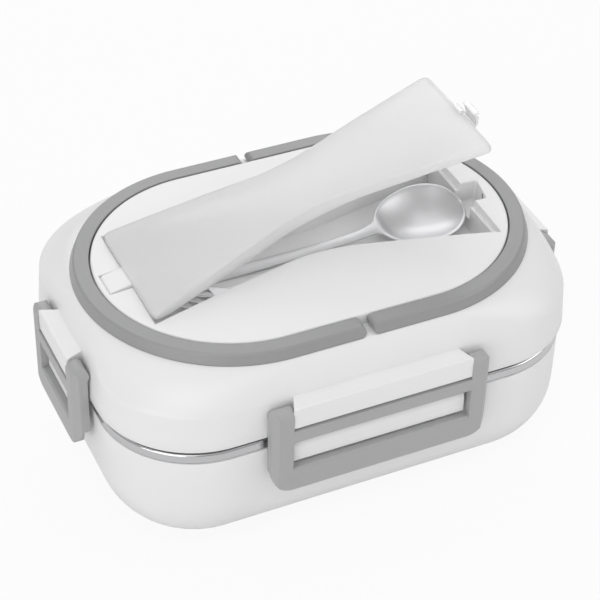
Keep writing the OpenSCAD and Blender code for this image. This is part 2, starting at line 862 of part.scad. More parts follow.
// One half of the ring, drawn on the +X side
module ring_half() {
  bar_from = ring_gap / 2;
  bar_depth = ring_in_r + ring_top + ring_flare + 1;
  translate([end_l, 0, seat_z + ring_lift]) rotate([0, 0, -90]) rotate_extrude(angle = 180) {
    translate([ring_in_r, 0]) ring_section();
  }
  for (s = [0, 1]) mirror([0, s, 0]) {
    intersection() {
      translate([bar_from, 0, seat_z + ring_lift]) rotate([90, 0, 90]) {
        linear_extrude(end_l - bar_from) translate([ring_in_r, 0]) ring_section();
      }
      translate([0, bar_depth, 0]) rotate([90, 0, 0]) linear_extrude(bar_depth) bar_side();
    }
    translate([ring_pivot_x, ring_in_r + 1, ring_pivot_z]) rotate([90, 0, 0]) {
      cylinder(r = ring_pin_r, h = ring_pin_l + 1);
    }
  }
}

module handle_right() {
  color("gray") ring_half();
}

module handle_left() {
  color("gray") mirror([1, 0, 0]) ring_half();
}

// ---- Latches ----

// Face outline of a latch: arms, two bars and the window
module latch_face(half) {
  out = half + arm_w;
  low_r = latch_low_r;
  difference() {
    union() {
      translate([-out, latch_z + low_r]) square([2 * out, hinge_z - latch_z - low_r]);
      translate([-out + low_r, latch_z]) square([2 * (out - low_r), low_r]);
      for (s = [-1, 1]) {
        translate([s * (out - low_r), latch_z + low_r]) intersection() {
          circle(low_r);
          translate([s * low_r / 2, -low_r / 2]) square(low_r, center = true);
        }
      }
    }
    translate([-half, window_z]) square([2 * half, window_h]);
    translate([-half, bar_z + bar_h]) square([2 * half, 60]);
  }
}

module latch(half) {
  out = half + arm_w;
  skirt_back = 0.8;
  rim = 2.2;
  difference() {
    union() {
      translate([0, -latch_reach + latch_t, 0]) rotate([90, 0, 0]) {
        linear_extrude(latch_t) latch_face(half);
      }
      for (s = [-1, 1]) {
        translate([s * (half + arm_w / 2) - arm_w / 2, -hinge_in, hinge_z]) rotate([0, 90, 0]) {
          cylinder(r = knuckle_r, h = arm_w);
        }
        translate([s > 0 ? out - rim : -out, -latch_reach + latch_t - eps, latch_z + latch_low_r]) {
          cube([rim, latch_reach - latch_t - skirt_back + eps, hinge_z - latch_z - latch_low_r]);
        }
        translate([s * (half + 1), -hinge_in, hinge_z]) rotate([0, -s * 90, 0]) {
          cylinder(r = latch_pin_r, h = pin_l + 1);
        }
      }
    }
    for (s = [-1, 1]) {
      translate([0, 0, latch_z - 1]) linear_extrude(hinge_z - latch_z + knuckle_r + 2) polygon([
        [s * (out - arm_bevel - 0.5), -latch_reach - 0.5], [s * (out + 0.5), -latch_reach - 0.5],
        [s * (out + 0.5), -latch_reach + arm_bevel + 0.5]
      ]);
      translate([s * (out - arm_top_r), 0, hinge_z + knuckle_r - arm_top_r]) rotate([90, 0, 0]) {
        translate([0, 0, -1]) linear_extrude(latch_reach + 2) difference() {
          translate([s > 0 ? 0 : -arm_top_r - 1, 0]) square(arm_top_r + 1);
          circle(arm_top_r);
        }
      }
    }
    rotate([90, 0, 90]) translate([0, 0, -half]) linear_extrude(2 * half) polygon([
      [-latch_reach - 0.1, window_z - 1], [-latch_reach + 1, window_z + 0.1],
      [-latch_reach - 0.1, window_z + 0.1]
    ]);
  }
}

module latch_front() {
  color("gray") at_side("front") latch(long_half);
}

module latch_back() {
  color("gray") at_side("back") latch(long_half);
}

module latch_left() {
  color("gray") at_side("left") latch(short_half);
}

module latch_right() {
  color("gray") at_side("right") latch(short_half);
}

// ---- Cutlery tray pieces ----

module about_hinge(angle) {
  translate([-hinge_x, 0, pivot_z]) rotate([0, -angle, 0]) translate([hinge_x, 0, -pivot_z]) children();
}

module cover_hinge_pin() {
  color("silver") translate([-hinge_x, -tab_w / 2 - 2, pivot_z]) rotate([-90, 0, 0]) {
    cylinder(r = hinge_pin_r, h = tab_w + 4);
  }
}

// Outline of the cover with rounded corners, drawn in by a margin
module cover_plan(extra) {
  end = tray_half - cover_gap - extra;
  r = cover_corner_r;
  intersection() {
    waisted(cover_gap + extra);
    union() {
      square([2 * (end - r), 4 * tray_end], center = true);
      soft_rect(2 * end, 2 * (tray_end - cover_gap - extra) - 1.2, r);
    }
  }
}

// Side view of the closed cover: its lips are shallow on the ledges and at the free end
module cover_side() {
  end = tray_half - cover_gap;
  shallow = ring_z - ledge_depth + 0.9;
  deep = ring_z - cover_lip;
  polygon([
    [-end, ring_z + crown + 1], [-end, ledge_z + 0.1], [-end + ledge_w + 1.2, ledge_z + 0.1],
    [-end + ledge_w + 3, deep], [0, deep], [tray_half / 3, shallow], [end, shallow],
    [end, ring_z + crown + 1]
  ]);
}

module closed_cover() {
  end = tray_half - cover_gap;
  width = 4 * tray_end;
  wall_end = end - ledge_w - 1.2;
  difference() {
    union() {
      intersection() {
        translate([0, 0, ring_z - cover_lip - 1]) linear_extrude(cover_lip + crown + 3) cover_plan(0);
        translate([0, width / 2, 0]) rotate([90, 0, 0]) linear_extrude(width) cover_side();
        crown_form(0, 0, ring_z - cover_lip - 2);
      }
      translate([-hinge_x, 0, pivot_z]) rotate([90, 0, 0]) {
        cylinder(r = hinge_eye_r, h = tab_w - 0.6, center = true);
      }
      translate([-hinge_x, -tab_w / 2 + 0.3, pivot_z - 0.4]) {
        cube([hinge_set + cover_gap + 3, tab_w - 0.6, 1.8]);
      }
      cover_clip();
    }
    intersection() {
      translate([0, 0, ring_z - cover_lip - 2]) linear_extrude(cover_lip + crown + 2) cover_plan(lip_in);
      crown_form(0, cover_t, ring_z - cover_lip - 3);
      translate([-wall_end, -width / 2, ring_z - cover_lip - 3]) {
        cube([2 * wall_end, width, cover_lip + crown + 4]);
      }
    }
    translate([-hinge_x, -tab_w, pivot_z]) rotate([-90, 0, 0]) {
      cylinder(r = hinge_pin_r + fit, h = 2 * tab_w);
    }
  }
}

// Spring clip on the cover's free end: a leg, a bend and a thumb pad
module cover_clip() {
  x0 = tray_half - cover_gap - 1;
  top = ring_z + 0.2;
  far = x0 + 2 * clip_bend;
  translate([0, clip_w / 2, 0]) rotate([90, 0, 0]) linear_extrude(clip_w) {
    translate([x0, top - clip_drop]) square([clip_t, clip_drop - 1]);
    translate([x0 + clip_bend, top - clip_drop]) intersection() {
      difference() {
        circle(clip_bend);
        circle(clip_bend - clip_t);
      }
      translate([-clip_bend, -clip_bend]) square([2 * clip_bend, clip_bend]);
    }
    translate([far - clip_t, top - clip_drop]) square([clip_t, clip_drop]);
    translate([far - clip_t, top - 1.4]) square([3, 1.4]);
    polygon([[far - eps, top - 4.6], [far + 0.9, top - 3.6], [far - eps, top - 2.6]]);
  }
}

module cutlery_cover() {
  color([0.95, 0.95, 0.95, 0.8]) about_hinge(cover_open) closed_cover();
}

// ---- Cutlery ----

// Loop round the bowl, blunter towards its tip than towards the handle
function bowl_loop(k, z, grow) =
  [for (i = [0:31]) let (a = i * 11.25) [
    (bowl_l * k + grow) * cos(a) * (1 - 0.15 * cos(a)),
    (bowl_w * k + grow) * sin(a),
    z
  ]];

module bowl_form(grow) {
  shares = [0.25, 0.5, 0.7, 0.85, 0.95, 1];
  skin(concat(
    [for (k = shares) bowl_loop(k, -bowl_depth * (1 - k * k) - grow, grow)],
    grow > 0 ? [] : [bowl_loop(1, 3, 0)]
  ));
}

// Flat bar of varying width and height along X, skinned through its stations
module blade(stations, thick) {
  skin([for (s = stations) [
    [s[0], -s[1] / 2, s[2]], [s[0], s[1] / 2, s[2]],
    [s[0], s[1] / 2, s[2] + thick], [s[0], -s[1] / 2, s[2] + thick]
  ]]);
}

module spoon() {
  tail = -spoon_tail;
  neck = -1.15 * bowl_l;
  color("silver") translate(spoon_at) rotate([0, 0, spoon_turn]) {
    rotate([spoon_roll, 0, 0]) difference() {
      bowl_form(cutlery_t);
      bowl_form(0);
    }
    blade([
      [tail, 6, -10.6], [tail + 2, 7.4, -10.4], [tail + 20, 7.6, -8.6], [tail + 38, 7.2, -7.2],
      [tail + 60, 6.4, -6.6], [neck - 30, 5.8, -6.4], [neck - 15, 5.6, -6.4], [neck - 6, 6, -5.6],
      [neck + 1, 8, -3.6]
    ], cutlery_t + 0.4);
  }
}

// Fork that lies on the bend of its neck and the end of its handle, tines up
module fork() {
  tines = 4;
  slot_w = 1.9;
  head_w = tine_pitch * tines - slot_w;
  slot_end = -2.4;
  color("silver") translate(fork_at) difference() {
    blade([
      [-28, head_w - 4, 11.8], [-24.4, head_w - 1.6, 11.6], [-18, head_w, 8.9], [-12, head_w, 5.4],
      [-3.5, head_w, 1.8], [2, head_w - 2.5, 0.5], [8, 13, 0.1], [14, 7, 0.2], [22, 5.4, 1],
      [60, 6.4, 0.8], [fork_len - 20, 9, 0.1], [fork_len - 2, 10, 0.1], [fork_len, 8, 0.1]
    ], cutlery_t);
    for (i = [-1:1]) {
      translate([-30, i * tine_pitch - slot_w / 2, -2]) cube([slot_end + 30, slot_w, 20]);
    }
  }
}

base_shell();
feet();
base_screws();
base_liner();
heating_plate();
ptc_heater();
heater_clamp();
clamp_screws();
thermostat();
thermal_fuse();
lead_wires();
inlet_socket();
inlet_pins();
insulation_pad();
container();
lid_shell();
lid_top_panel();
lid_inner_plate();
lid_gasket();
lid_screws();
handle_left();
handle_right();
latch_front();
latch_back();
latch_left();
latch_right();
cover_hinge_pin();
cutlery_cover();
spoon();
fork();
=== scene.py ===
"""Looks for an electric lunch box.

Smooth moulded shells, a steel container, grey latches and ring, and a frosted cover over the cutlery.
"""

import json
import math
from contextlib import contextmanager

import bmesh
import bpy
from mathutils import Matrix, Vector
from mathutils.geometry import delaunay_2d_cdt


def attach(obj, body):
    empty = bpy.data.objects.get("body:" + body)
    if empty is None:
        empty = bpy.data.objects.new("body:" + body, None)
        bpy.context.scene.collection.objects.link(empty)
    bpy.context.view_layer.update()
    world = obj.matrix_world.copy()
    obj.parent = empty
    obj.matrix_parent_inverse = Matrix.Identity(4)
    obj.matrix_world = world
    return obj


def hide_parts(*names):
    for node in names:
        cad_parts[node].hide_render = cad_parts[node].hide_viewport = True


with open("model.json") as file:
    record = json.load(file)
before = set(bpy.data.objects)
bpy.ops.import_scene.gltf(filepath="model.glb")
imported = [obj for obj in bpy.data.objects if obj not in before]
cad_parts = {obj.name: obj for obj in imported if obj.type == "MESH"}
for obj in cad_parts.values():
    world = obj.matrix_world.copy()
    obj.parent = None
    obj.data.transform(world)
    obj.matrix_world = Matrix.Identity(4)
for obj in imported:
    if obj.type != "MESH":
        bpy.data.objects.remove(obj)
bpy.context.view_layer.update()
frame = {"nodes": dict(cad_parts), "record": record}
MM = 0.001

# ---- Sizes in millimetres; the CAD's own shapes are worked out as they are there ----

BODY_L, BODY_W, CORNER_R = 236.0, 167.0, 47.7
CX, CY = BODY_L / 2 - CORNER_R, BODY_W / 2 - CORNER_R

# Tub, with holes (x, y, radius, top) that repeat in its four quarters for sunk screws and feet
BASE_INSET, BASE_WALL, BOTTOM_ROUND = 1.5, 2.5, 34.0
BASE_R, FOOT_STAND, BASE_TOP = CORNER_R - BASE_INSET, 1.0, 61.8
SCREW_HOLE, FOOT_HOLE = (76, 30, 3.2, 5.5), (56, 38, 6.06, 2.0)

# Grey liner, with the heating plate's hole in its floor
LINER_GAP, LINER_WALL, LINER_ROUND = 0.4, 1.6, 16.58
LINER_R = BASE_R - BASE_WALL - LINER_GAP
LINER_IN_R, LINER_RIM_R = LINER_R - LINER_WALL, 44.6
LINER_FLOOR, LINER_TOP = 17.6, 66.0
LINER_BOTTOM = LINER_FLOOR - LINER_WALL
PLATE_HOLE_L, PLATE_HOLE_W, PLATE_HOLE_R = 65.3, 40.3, 12.3

# Steel container
STEEL, STEEL_BAND, STEEL_GAP, CAN_STAND, RIM_STAND = 0.8, 4.8, 0.5, 1.6, 0.4
CAN_R, CAN_ROUND = LINER_IN_R - STEEL_GAP, LINER_ROUND - LINER_WALL - STEEL_GAP
CAN_BOTTOM, CAN_EDGE_R, RIM_TOP = LINER_FLOOR + CAN_STAND, 46.0, BASE_TOP + STEEL_BAND + RIM_STAND

# Power inlet in the tub's back
INLET_W, INLET_H, INLET_RIM, INLET_DEPTH = 18.0, 8.0, 1.2, 13.0
INLET_PROUD, INLET_GAP = 2.0, 0.4
INLET_Z = LINER_BOTTOM - INLET_H / 2 - INLET_RIM - INLET_GAP
INLET_RISE = FOOT_STAND + BOTTOM_ROUND - INLET_Z
INLET_Y = CY + BASE_R - BOTTOM_ROUND + math.sqrt(BOTTOM_ROUND**2 - INLET_RISE**2) + INLET_PROUD

# Lid: skirt, shoulder, the ring's seat and the crowned panel inside the ring
LID_WALL, SEAM_GAP, SKIRT_H, SKIRT_LEAN = 2.4, 3, 18.4, 1.3
SEAT_H, SHOULDER_BOW, CROWN, RING_H = 34, 1.37, 4.0, 5.4
RING_SET_L, RING_SET_W, RING_W, RING_SLACK = 15.5, 18.2, 9.1, 0.7
SEAM_Z = RIM_TOP + SEAM_GAP
CREASE_Z, SEAT_Z = SEAM_Z + SKIRT_H, SEAM_Z + SEAT_H
RING_Z, RING_IN_R = SEAT_Z + RING_H, BODY_W / 2 - RING_SET_W
END_L, PANEL_R, SEAT_R = BODY_L / 2 - RING_SET_L - RING_IN_R, RING_IN_R - RING_SLACK, RING_IN_R + RING_W

# Half the gap between a latch's two arms, on the long and the short sides
LONG_HALF, SHORT_HALF = 44.7, 19.2

# Cutlery recess, its end ledges, and the tab's slot and the clip's pocket beyond them
TRAY_LAND, TRAY_DEPTH, LEDGE_W, LEDGE_DEPTH, HINGE_SET = 14.1, 15.5, 2.1, 3, 9.3
TRAY_HALF, TRAY_END, TRAY_WAIST, WAIST_R = END_L + PANEL_R - TRAY_LAND, 34.8, 19.4, 94.0
TRAY_Z, LEDGE_Z, LEDGE_X = RING_Z - TRAY_DEPTH, RING_Z - LEDGE_DEPTH, TRAY_HALF - LEDGE_W
HINGE_X, HINGE_Z, TAB_W, TAB_R, TAB_SLACK = TRAY_HALF + HINGE_SET, RING_Z - 1.6, 14.0, 1.85, 0.5
SLOT_HALF, SLOT_END, SLOT_Z = TAB_W / 2 + TAB_SLACK, HINGE_X + 2, HINGE_Z - 2.1
POCKET_NEAR, POCKET_FAR, POCKET_Z = (94.4, -8.8), (96.6, 6.0), RING_Z - 10

# Cutlery cover with its lip, and its clip
COVER_GAP, HINGE_END_GAP, FREE_END_GAP = 1.2, 0.25, 0.6
COVER_T, COVER_OPEN, COVER_EDGE, COVER_ROUND = 1.6, 15.5, 1.2, 4
LIP_DEPTH, LIP_T, LIP_EDGE, LIP_BLEND = 3.9, 1.2, 0.3, 0.6
CLIP_HALF, CLIP_T, CLIP_BEND, CLIP_PAD = 5.5, 1.2, 3.2, 1.1

# Fineness of the meshes: steps round a corner, spacing of points, and room left between them
ROUND_STEPS, LINER_STEPS, SHOULDER_STEPS, MESH_STEP, MESH_CLEAR = 28, 24, 40, 4, 2.2
HARD_ANGLE, SOFT_ANGLE, CAD_HARD_ANGLE, MITRE_LIMIT = 32, 40, 28, 0.4
HAIR, WELD_METRES = 0.01, 1e-6
SIDES = ("front", "right", "back", "left")
QUARTERS = [(1, 1), (1, -1), (-1, 1), (-1, -1)]


# ---- Mesh helpers ----


def cos_deg(angle):
    """Cosine of an angle in degrees."""
    return math.cos(math.radians(angle))


def sin_deg(angle):
    """Sine of an angle in degrees."""
    return math.sin(math.radians(angle))


@contextmanager
def edited(mesh):
    """A mesh opened for editing, and written back at the end."""
    bm = bmesh.new()
    bm.from_mesh(mesh)
    yield bm
    bm.to_mesh(mesh)
    bm.free()


def mark_sharp(mesh, limit):
    """Smooth faces, with a hard line along every edge that turns by more than limit degrees."""
    with edited(mesh) as bm:
        for face in bm.faces:
            face.smooth = True
        for edge in bm.edges:
            if len(edge.link_faces) == 2:
                edge.smooth = edge.calc_face_angle(0.0) < math.radians(limit)


def add_piece(
    name, verts, faces, body, slot, replaces=(), look=None, sharp=HARD_ANGLE, normals=None, transform=None
):
    """A piece from millimetre vertices that rides on a CAD body. Its look is its slot's, or the one given."""
    mesh = bpy.data.meshes.new(name)
    mesh.from_pydata([Vector(v) * MM for v in verts], [], faces)
    if transform:
        mesh.transform(transform)
    mark_sharp(mesh, sharp)
    if normals:
        turn = transform.to_3x3() if transform else Matrix.Identity(3)
        mesh.normals_split_custom_set_from_vertices([tuple(turn @ Vector(n)) for n in normals])
    obj = bpy.data.objects.new(name, mesh)
    bpy.context.scene.collection.objects.link(obj)
    mesh.materials.append(LOOKS[look or slot])
    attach(obj, body)
    if replaces:
        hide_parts(*replaces)
    return obj


def bevel(obj, width, segments=2, angle=40):
    """Rounds the hard edges of a piece."""
    rounding = obj.modifiers.new("edge_round", "BEVEL")
    rounding.width = width * MM
    rounding.segments = segments
    rounding.limit_method = "ANGLE"
    rounding.angle_limit = math.radians(angle)
    rounding.harden_normals = False


def rounded_loop(half_l, half_w, r, z, n):
    """Rounded rectangle as a loop of points, counter-clockwise."""
    points = []
    for q, (sx, sy) in enumerate([(1, 1), (-1, 1), (-1, -1), (1, -1)]):
        for i in range(n + 1):
            a = 90 * q + 90 * i / n
            points.append((sx * (half_l - r) + r * cos_deg(a), sy * (half_w - r) + r * sin_deg(a), z))
    return points


def body_loop(r, z, n):
    """Loop at distance r from the corner centres of the body."""
    return rounded_loop(CX + r, CY + r, r, z, n)


def loft(loops, close_start=False, close_end=False):
    """Vertices and faces of a skin through loops of equal count."""
    m = len(loops[0])
    verts = [p for loop in loops for p in loop]
    faces = []
    for j in range(len(loops) - 1):
        for i in range(m):
            k = (i + 1) % m
            faces.append((j * m + i, j * m + k, (j + 1) * m + k, (j + 1) * m + i))
    if close_start:
        faces.append(tuple(range(m - 1, -1, -1)))
    if close_end:
        faces.append(tuple((len(loops) - 1) * m + i for i in range(m)))
    return verts, faces


def arc(cx, cz, r, start, end, n):
    """Points of an arc in a profile, from start to end degrees."""
    angles = [start + (end - start) * i / n for i in range(n + 1)]
    return [(cx + r * cos_deg(a), cz + r * sin_deg(a)) for a in angles]


def shell_of(profile, n):
    """Loops of a profile (r, z) carried round the body's outline."""
    return [body_loop(r, z, n) for r, z in profile]


def prism(outline, low, high, place):
    """Extrudes a closed outline (u, v) from low to high along w; place maps (u, v, w) to x, y, z."""
    m = len(outline)
    verts = [place(u, v, w) for w in (low, high) for u, v in outline]
    faces = [(i, (i + 1) % m, m + (i + 1) % m, m + i) for i in range(m)]
    return verts, faces + [tuple(range(m - 1, -1, -1)), tuple(range(m, 2 * m))]


def merge(*parts):
    """Joins (vertices, faces) pairs into one."""
    verts, faces = [], []
    for v, f in parts:
        shift = len(verts)
        verts += v
        faces += [tuple(i + shift for i in face) for face in f]
    return verts, faces


def flat_region(outline, holes=(), inner=(), height=None):
    """Triangulates an outline with holes; inner points are kept; height(x, y) lifts it."""
    points, edges = [], []
    for loop in [outline, *holes]:
        start = len(points)
        points += [Vector((p[0], p[1])) for p in loop]
        edges += [(start + i, start + (i + 1) % len(loop)) for i in range(len(loop))]
    points += [Vector(p) for p in inner]
    inside_only, tolerance = 1, 1e-5
    out_v, _, out_f, *_ = delaunay_2d_cdt(points, edges, [], inside_only, tolerance)
    lifted = [(p[0], p[1], height(p[0], p[1])) for p in out_v]
    faces = []
    for face in out_f:
        x = sum(out_v[i][0] for i in face) / len(face)
        y = sum(out_v[i][1] for i in face) / len(face)
        if inside((x, y), outline) and not any(inside((x, y), h) for h in holes):
            faces.append(tuple(face) if turns_left([out_v[i] for i in face]) else tuple(reversed(face)))
    return lifted, faces


def flipped(faces):
    """The same faces, looking the other way."""
    return [tuple(reversed(face)) for face in faces]


def turns_left(loop):
    """True for a loop that runs counter-clockwise."""
    pairs = zip(loop, [*loop[1:], loop[0]])
    return sum(a[0] * b[1] - b[0] * a[1] for a, b in pairs) > 0


def inside(point, loop):
    """True for a point that a loop surrounds, by the even-odd rule."""
    x, y = point
    odd = False
    for i in range(len(loop)):
        (x0, y0), (x1, y1) = loop[i][:2], loop[(i + 1) % len(loop)][:2]
        if (y0 > y) != (y1 > y) and x < (x1 - x0) * (y - y0) / (y1 - y0) + x0:
            odd = not odd
    return odd


def offset(loop, distance):
    """Moves each point of a counter-clockwise loop outwards by distance."""
    out = []
    for i in range(len(loop)):
        before, here = Vector(loop[i - 1][:2]), Vector(loop[i][:2])
        after = Vector(loop[(i + 1) % len(loop)][:2])
        d0, d1 = (here - before).normalized(), (after - here).normalized()
        n0, n1 = Vector((d0.y, -d0.x)), Vector((d1.y, -d1.x))
        mid = (n0 + n1).normalized()
        p = here + mid * distance / max(MITRE_LIMIT, mid.dot(n0))
        out.append((p.x, p.y))
    return out


def mirrored(points):
    """Points on the other side of the x axis, in reverse order."""
    return [(x, -y) for x, y in reversed(points)]


def bisect(low, high, steps, reached):
    """Halves a range around the value from which reached(value) holds, and returns its two ends."""
    for _ in range(steps):
        middle = (low + high) / 2
        low, high = (low, middle) if reached(middle) else (middle, high)
    return low, high


# ---- Materials ----

NOISE_LOW, NOISE_HIGH = 0.3, 0.7
LOOKS = {}


def grey(level, cool=0.0):
    """Colour of a grey, with a little more blue where cool is above 0."""
    return (level, level, level + cool)


def new_material(name):
    """The node tree and main shader of a new material, which LOOKS keeps under its name."""
    LOOKS[name] = bpy.data.materials.new(name)
    LOOKS[name].use_nodes = True
    tree = LOOKS[name].node_tree
    return tree, tree.nodes["Principled BSDF"]


def add_node(tree, kind, inputs=None, **settings):
    """A shader node whose inputs are set to values or linked from other nodes' outputs."""
    made = tree.nodes.new("ShaderNode" + kind)
    for key, value in settings.items():
        setattr(made, key, value)
    for key, value in (inputs or {}).items():
        if isinstance(value, bpy.types.NodeSocket):
            tree.links.new(value, made.inputs[key])
        else:
            made.inputs[key].default_value = value
    return made


def noise(tree, scale, detail, stretch=None):
    """Noise in the object's own coordinates, in features per metre."""
    place = add_node(tree, "TexCoord").outputs["Object"]
    if stretch:
        place = add_node(tree, "Mapping", {"Vector": place, "Scale": stretch}).outputs["Vector"]
    texture = add_node(tree, "TexNoise", {"Vector": place, "Scale": scale, "Detail": detail})
    return texture.outputs["Fac"]


def spread(tree, fac, low, high):
    """Maps a texture value to a range."""
    ends = {"From Min": NOISE_LOW, "From Max": NOISE_HIGH, "To Min": low, "To Max": high}
    return add_node(tree, "MapRange", {"Value": fac, **ends}).outputs["Result"]


def ramp(tree, fac, stops):
    """Colour that runs between two (place, colour) stops."""
    made = add_node(tree, "ValToRGB", {"Fac": fac})
    for stop, (place, colour) in zip(made.color_ramp.elements, stops):
        stop.position = place
        stop.color = (*colour, 1)
    return made.outputs["Color"]


def tint(tree, fac, dark, light):
    """Colour that drifts between two tones with a texture."""
    return ramp(tree, fac, [(NOISE_LOW, dark), (NOISE_HIGH, light)])


def bump(tree, bsdf, fac, strength, distance, edge=0.0):
    """Surface relief, over edges rounded in the shader where edge is above 0."""
    inputs = {"Strength": strength, "Distance": distance, "Height": fac}
    if edge:
        inputs["Normal"] = add_node(tree, "Bevel", {"Radius": edge * MM}, samples=6).outputs["Normal"]
    tree.links.new(add_node(tree, "Bump", inputs).outputs["Normal"], bsdf.inputs["Normal"])


def moulded(name, dark, light, rough, grain, edge=0.0):
    """Moulded plastic: a faint drift of tone, fine mould texture and uneven gloss."""
    tree, bsdf = new_material(name)
    drift, gloss = noise(tree, scale=14, detail=2), noise(tree, scale=60, detail=4)
    tree.links.new(tint(tree, drift, dark, light), bsdf.inputs["Base Color"])
    tree.links.new(spread(tree, gloss, *rough), bsdf.inputs["Roughness"])
    bump(tree, bsdf, noise(tree, scale=2600, detail=2), grain, distance=0.00012, edge=edge)


def metal(name, dark, light, rough, brush, grain=0.0, edge=0.0):
    """Metal with fine drawn lines along one direction, in relief where grain is above 0."""
    tree, bsdf = new_material(name)
    bsdf.inputs["Metallic"].default_value = 1.0
    lines = noise(tree, scale=900, detail=4, stretch=brush)
    tree.links.new(tint(tree, lines, dark, light), bsdf.inputs["Base Color"])
    tree.links.new(spread(tree, lines, *rough), bsdf.inputs["Roughness"])
    if grain:
        bump(tree, bsdf, lines, grain, distance=0.00002, edge=edge)


def frosted(name, dark, light, rough, transmission, ior):
    """Frosted see-through plastic."""
    tree, bsdf = new_material(name)
    drift, gloss = noise(tree, scale=30, detail=3), noise(tree, scale=300, detail=4)
    tree.links.new(tint(tree, drift, dark, light), bsdf.inputs["Base Color"])
    tree.links.new(spread(tree, gloss, *rough), bsdf.inputs["Roughness"])
    bump(tree, bsdf, noise(tree, scale=1800, detail=3), strength=0.08, distance=0.0001)
    bsdf.inputs["Transmission Weight"].default_value = transmission
    bsdf.inputs["IOR"].default_value = ior


moulded("white_body", grey(0.865), grey(0.875), rough=(0.3, 0.32), grain=0.02)
moulded("white_body_edged", grey(0.865), grey(0.875), rough=(0.3, 0.32), grain=0.02, edge=0.4)
moulded("grey_trim", grey(0.415, 0.005), grey(0.425, 0.005), rough=(0.36, 0.42), grain=0.06, edge=0.5)
moulded("grey_ring", grey(0.325, 0.005), grey(0.335, 0.005), rough=(0.3, 0.36), grain=0.06, edge=0.6)
moulded("frosted_tab", grey(0.88), grey(0.9), rough=(0.4, 0.45), grain=0.03)
moulded("grey_liner", grey(0.55, 0.01), grey(0.6, 0.01), rough=(0.4, 0.5), grain=0.06, edge=0.4)
moulded("dark_plastic", grey(0.02), grey(0.035), rough=(0.4, 0.5), grain=0.1, edge=0.3)
moulded("foot_rubber", grey(0.06), grey(0.09), rough=(0.7, 0.85), grain=0.2, edge=0.3)
moulded("seal_silicone", grey(0.24, 0.01), grey(0.28, 0.01), rough=(0.5, 0.6), grain=0.1, edge=0.5)
moulded("wire_sleeve", (0.3, 0.03, 0.03), (0.36, 0.05, 0.04), rough=(0.6, 0.7), grain=0.4)
moulded("shield_sheet", (0.6, 0.56, 0.44), (0.68, 0.64, 0.52), rough=(0.6, 0.75), grain=0.4, edge=0.3)
metal("polished_steel", grey(0.6, 0.01), grey(0.68, 0.01), rough=(0.1, 0.2), brush=(1, 1, 9), grain=0.12)
metal("cutlery_steel", grey(0.7, 0.01), grey(0.72, 0.01), rough=(0.38, 0.41), brush=(0.3, 3, 3))
metal(
    "screw_steel", grey(0.42, 0.02), grey(0.52, 0.02), rough=(0.25, 0.4), brush=(4, 4, 1), grain=0.2, edge=0.2
)
metal("heating_aluminium", grey(0.58), grey(0.68), rough=(0.3, 0.42), brush=(1, 7, 1), grain=0.4, edge=0.4)
metal(
    "heater_brass", (0.55, 0.4, 0.2), (0.66, 0.5, 0.28), rough=(0.35, 0.5), brush=(6, 1, 1),
    grain=0.3, edge=0.3,
)
frosted("frosted_cover", grey(0.96), grey(0.98), rough=(0.38, 0.5), transmission=0.5, ior=1.3)


def smooth_by_angle(limit):
    """Modifier group that shades smooth and keeps edges hard above an angle."""
    group = bpy.data.node_groups.new("smooth_by_angle", "GeometryNodeTree")
    for side in ("INPUT", "OUTPUT"):
        group.interface.new_socket("Geometry", in_out=side, socket_type="NodeSocketGeometry")
    add, link = group.nodes.new, group.links.new
    start, end = add("NodeGroupInput"), add("NodeGroupOutput")
    joined = add("GeometryNodeMergeByDistance")
    joined.inputs["Distance"].default_value = WELD_METRES
    faces, edges = add("GeometryNodeSetShadeSmooth"), add("GeometryNodeSetShadeSmooth")
    edges.domain = "EDGE"
    edges.inputs["Shade Smooth"].default_value = False
    angle, over = add("GeometryNodeInputMeshEdgeAngle"), add("FunctionNodeCompare")
    over.data_type = "FLOAT"
    over.operation = "GREATER_THAN"
    over.inputs[1].default_value = math.radians(limit)
    link(start.outputs[0], joined.inputs["Geometry"])
    link(joined.outputs["Geometry"], faces.inputs["Geometry"])
    link(faces.outputs["Geometry"], edges.inputs["Geometry"])
    link(angle.outputs["Unsigned Angle"], over.inputs[0])
    link(over.outputs["Result"], edges.inputs["Selection"])
    link(edges.outputs["Geometry"], end.inputs[0])
    return group


def dress_cad_nodes():
    """Carried-over CAD nodes get smooth shading and their slot's look: edged white, a darker grey ring."""
    group = smooth_by_angle(CAD_HARD_ANGLE)
    slots = {s["node"]: s["material_slot"] for s in frame["record"]["subparts"]}
    for name, obj in frame["nodes"].items():
        look = "white_body_edged" if slots[name] == "white_body" else slots[name]
        obj.data.materials.clear()
        obj.data.materials.append(LOOKS["grey_ring" if name.startswith("handle") else look])
        obj.modifiers.new("smooth", "NODES").node_group = group


# ---- Tub ----


def at_side(side, point):
    """Turns a point drawn for the front side, with depth from the skirt, to another side."""
    x, y, z = point
    y -= BODY_W / 2 if side in ("front", "back") else BODY_L / 2
    turn = 90 * SIDES.index(side)
    c, s = round(cos_deg(turn)), round(sin_deg(turn))
    return (x * c - y * s, x * s + y * c, z)


def side_half(side):
    """Half the gap between the arms of a side's latch."""
    return LONG_HALF if side in ("front", "back") else SHORT_HALF


def side_bar(name, side, profile, half, body, round_mm, ends=0.0):
    """A white bar with a profile (y, z) along a side; its ends draw in by a share of the depth."""
    front = min(y for y, _ in profile)

    def place(u, v, w):
        return at_side(side, (w * (1 - ends * (u - front) / half), u, v))

    obj = add_piece(name, *prism(profile, -half, half, place), body, "white_body")
    bevel(obj, round_mm, segments=3)


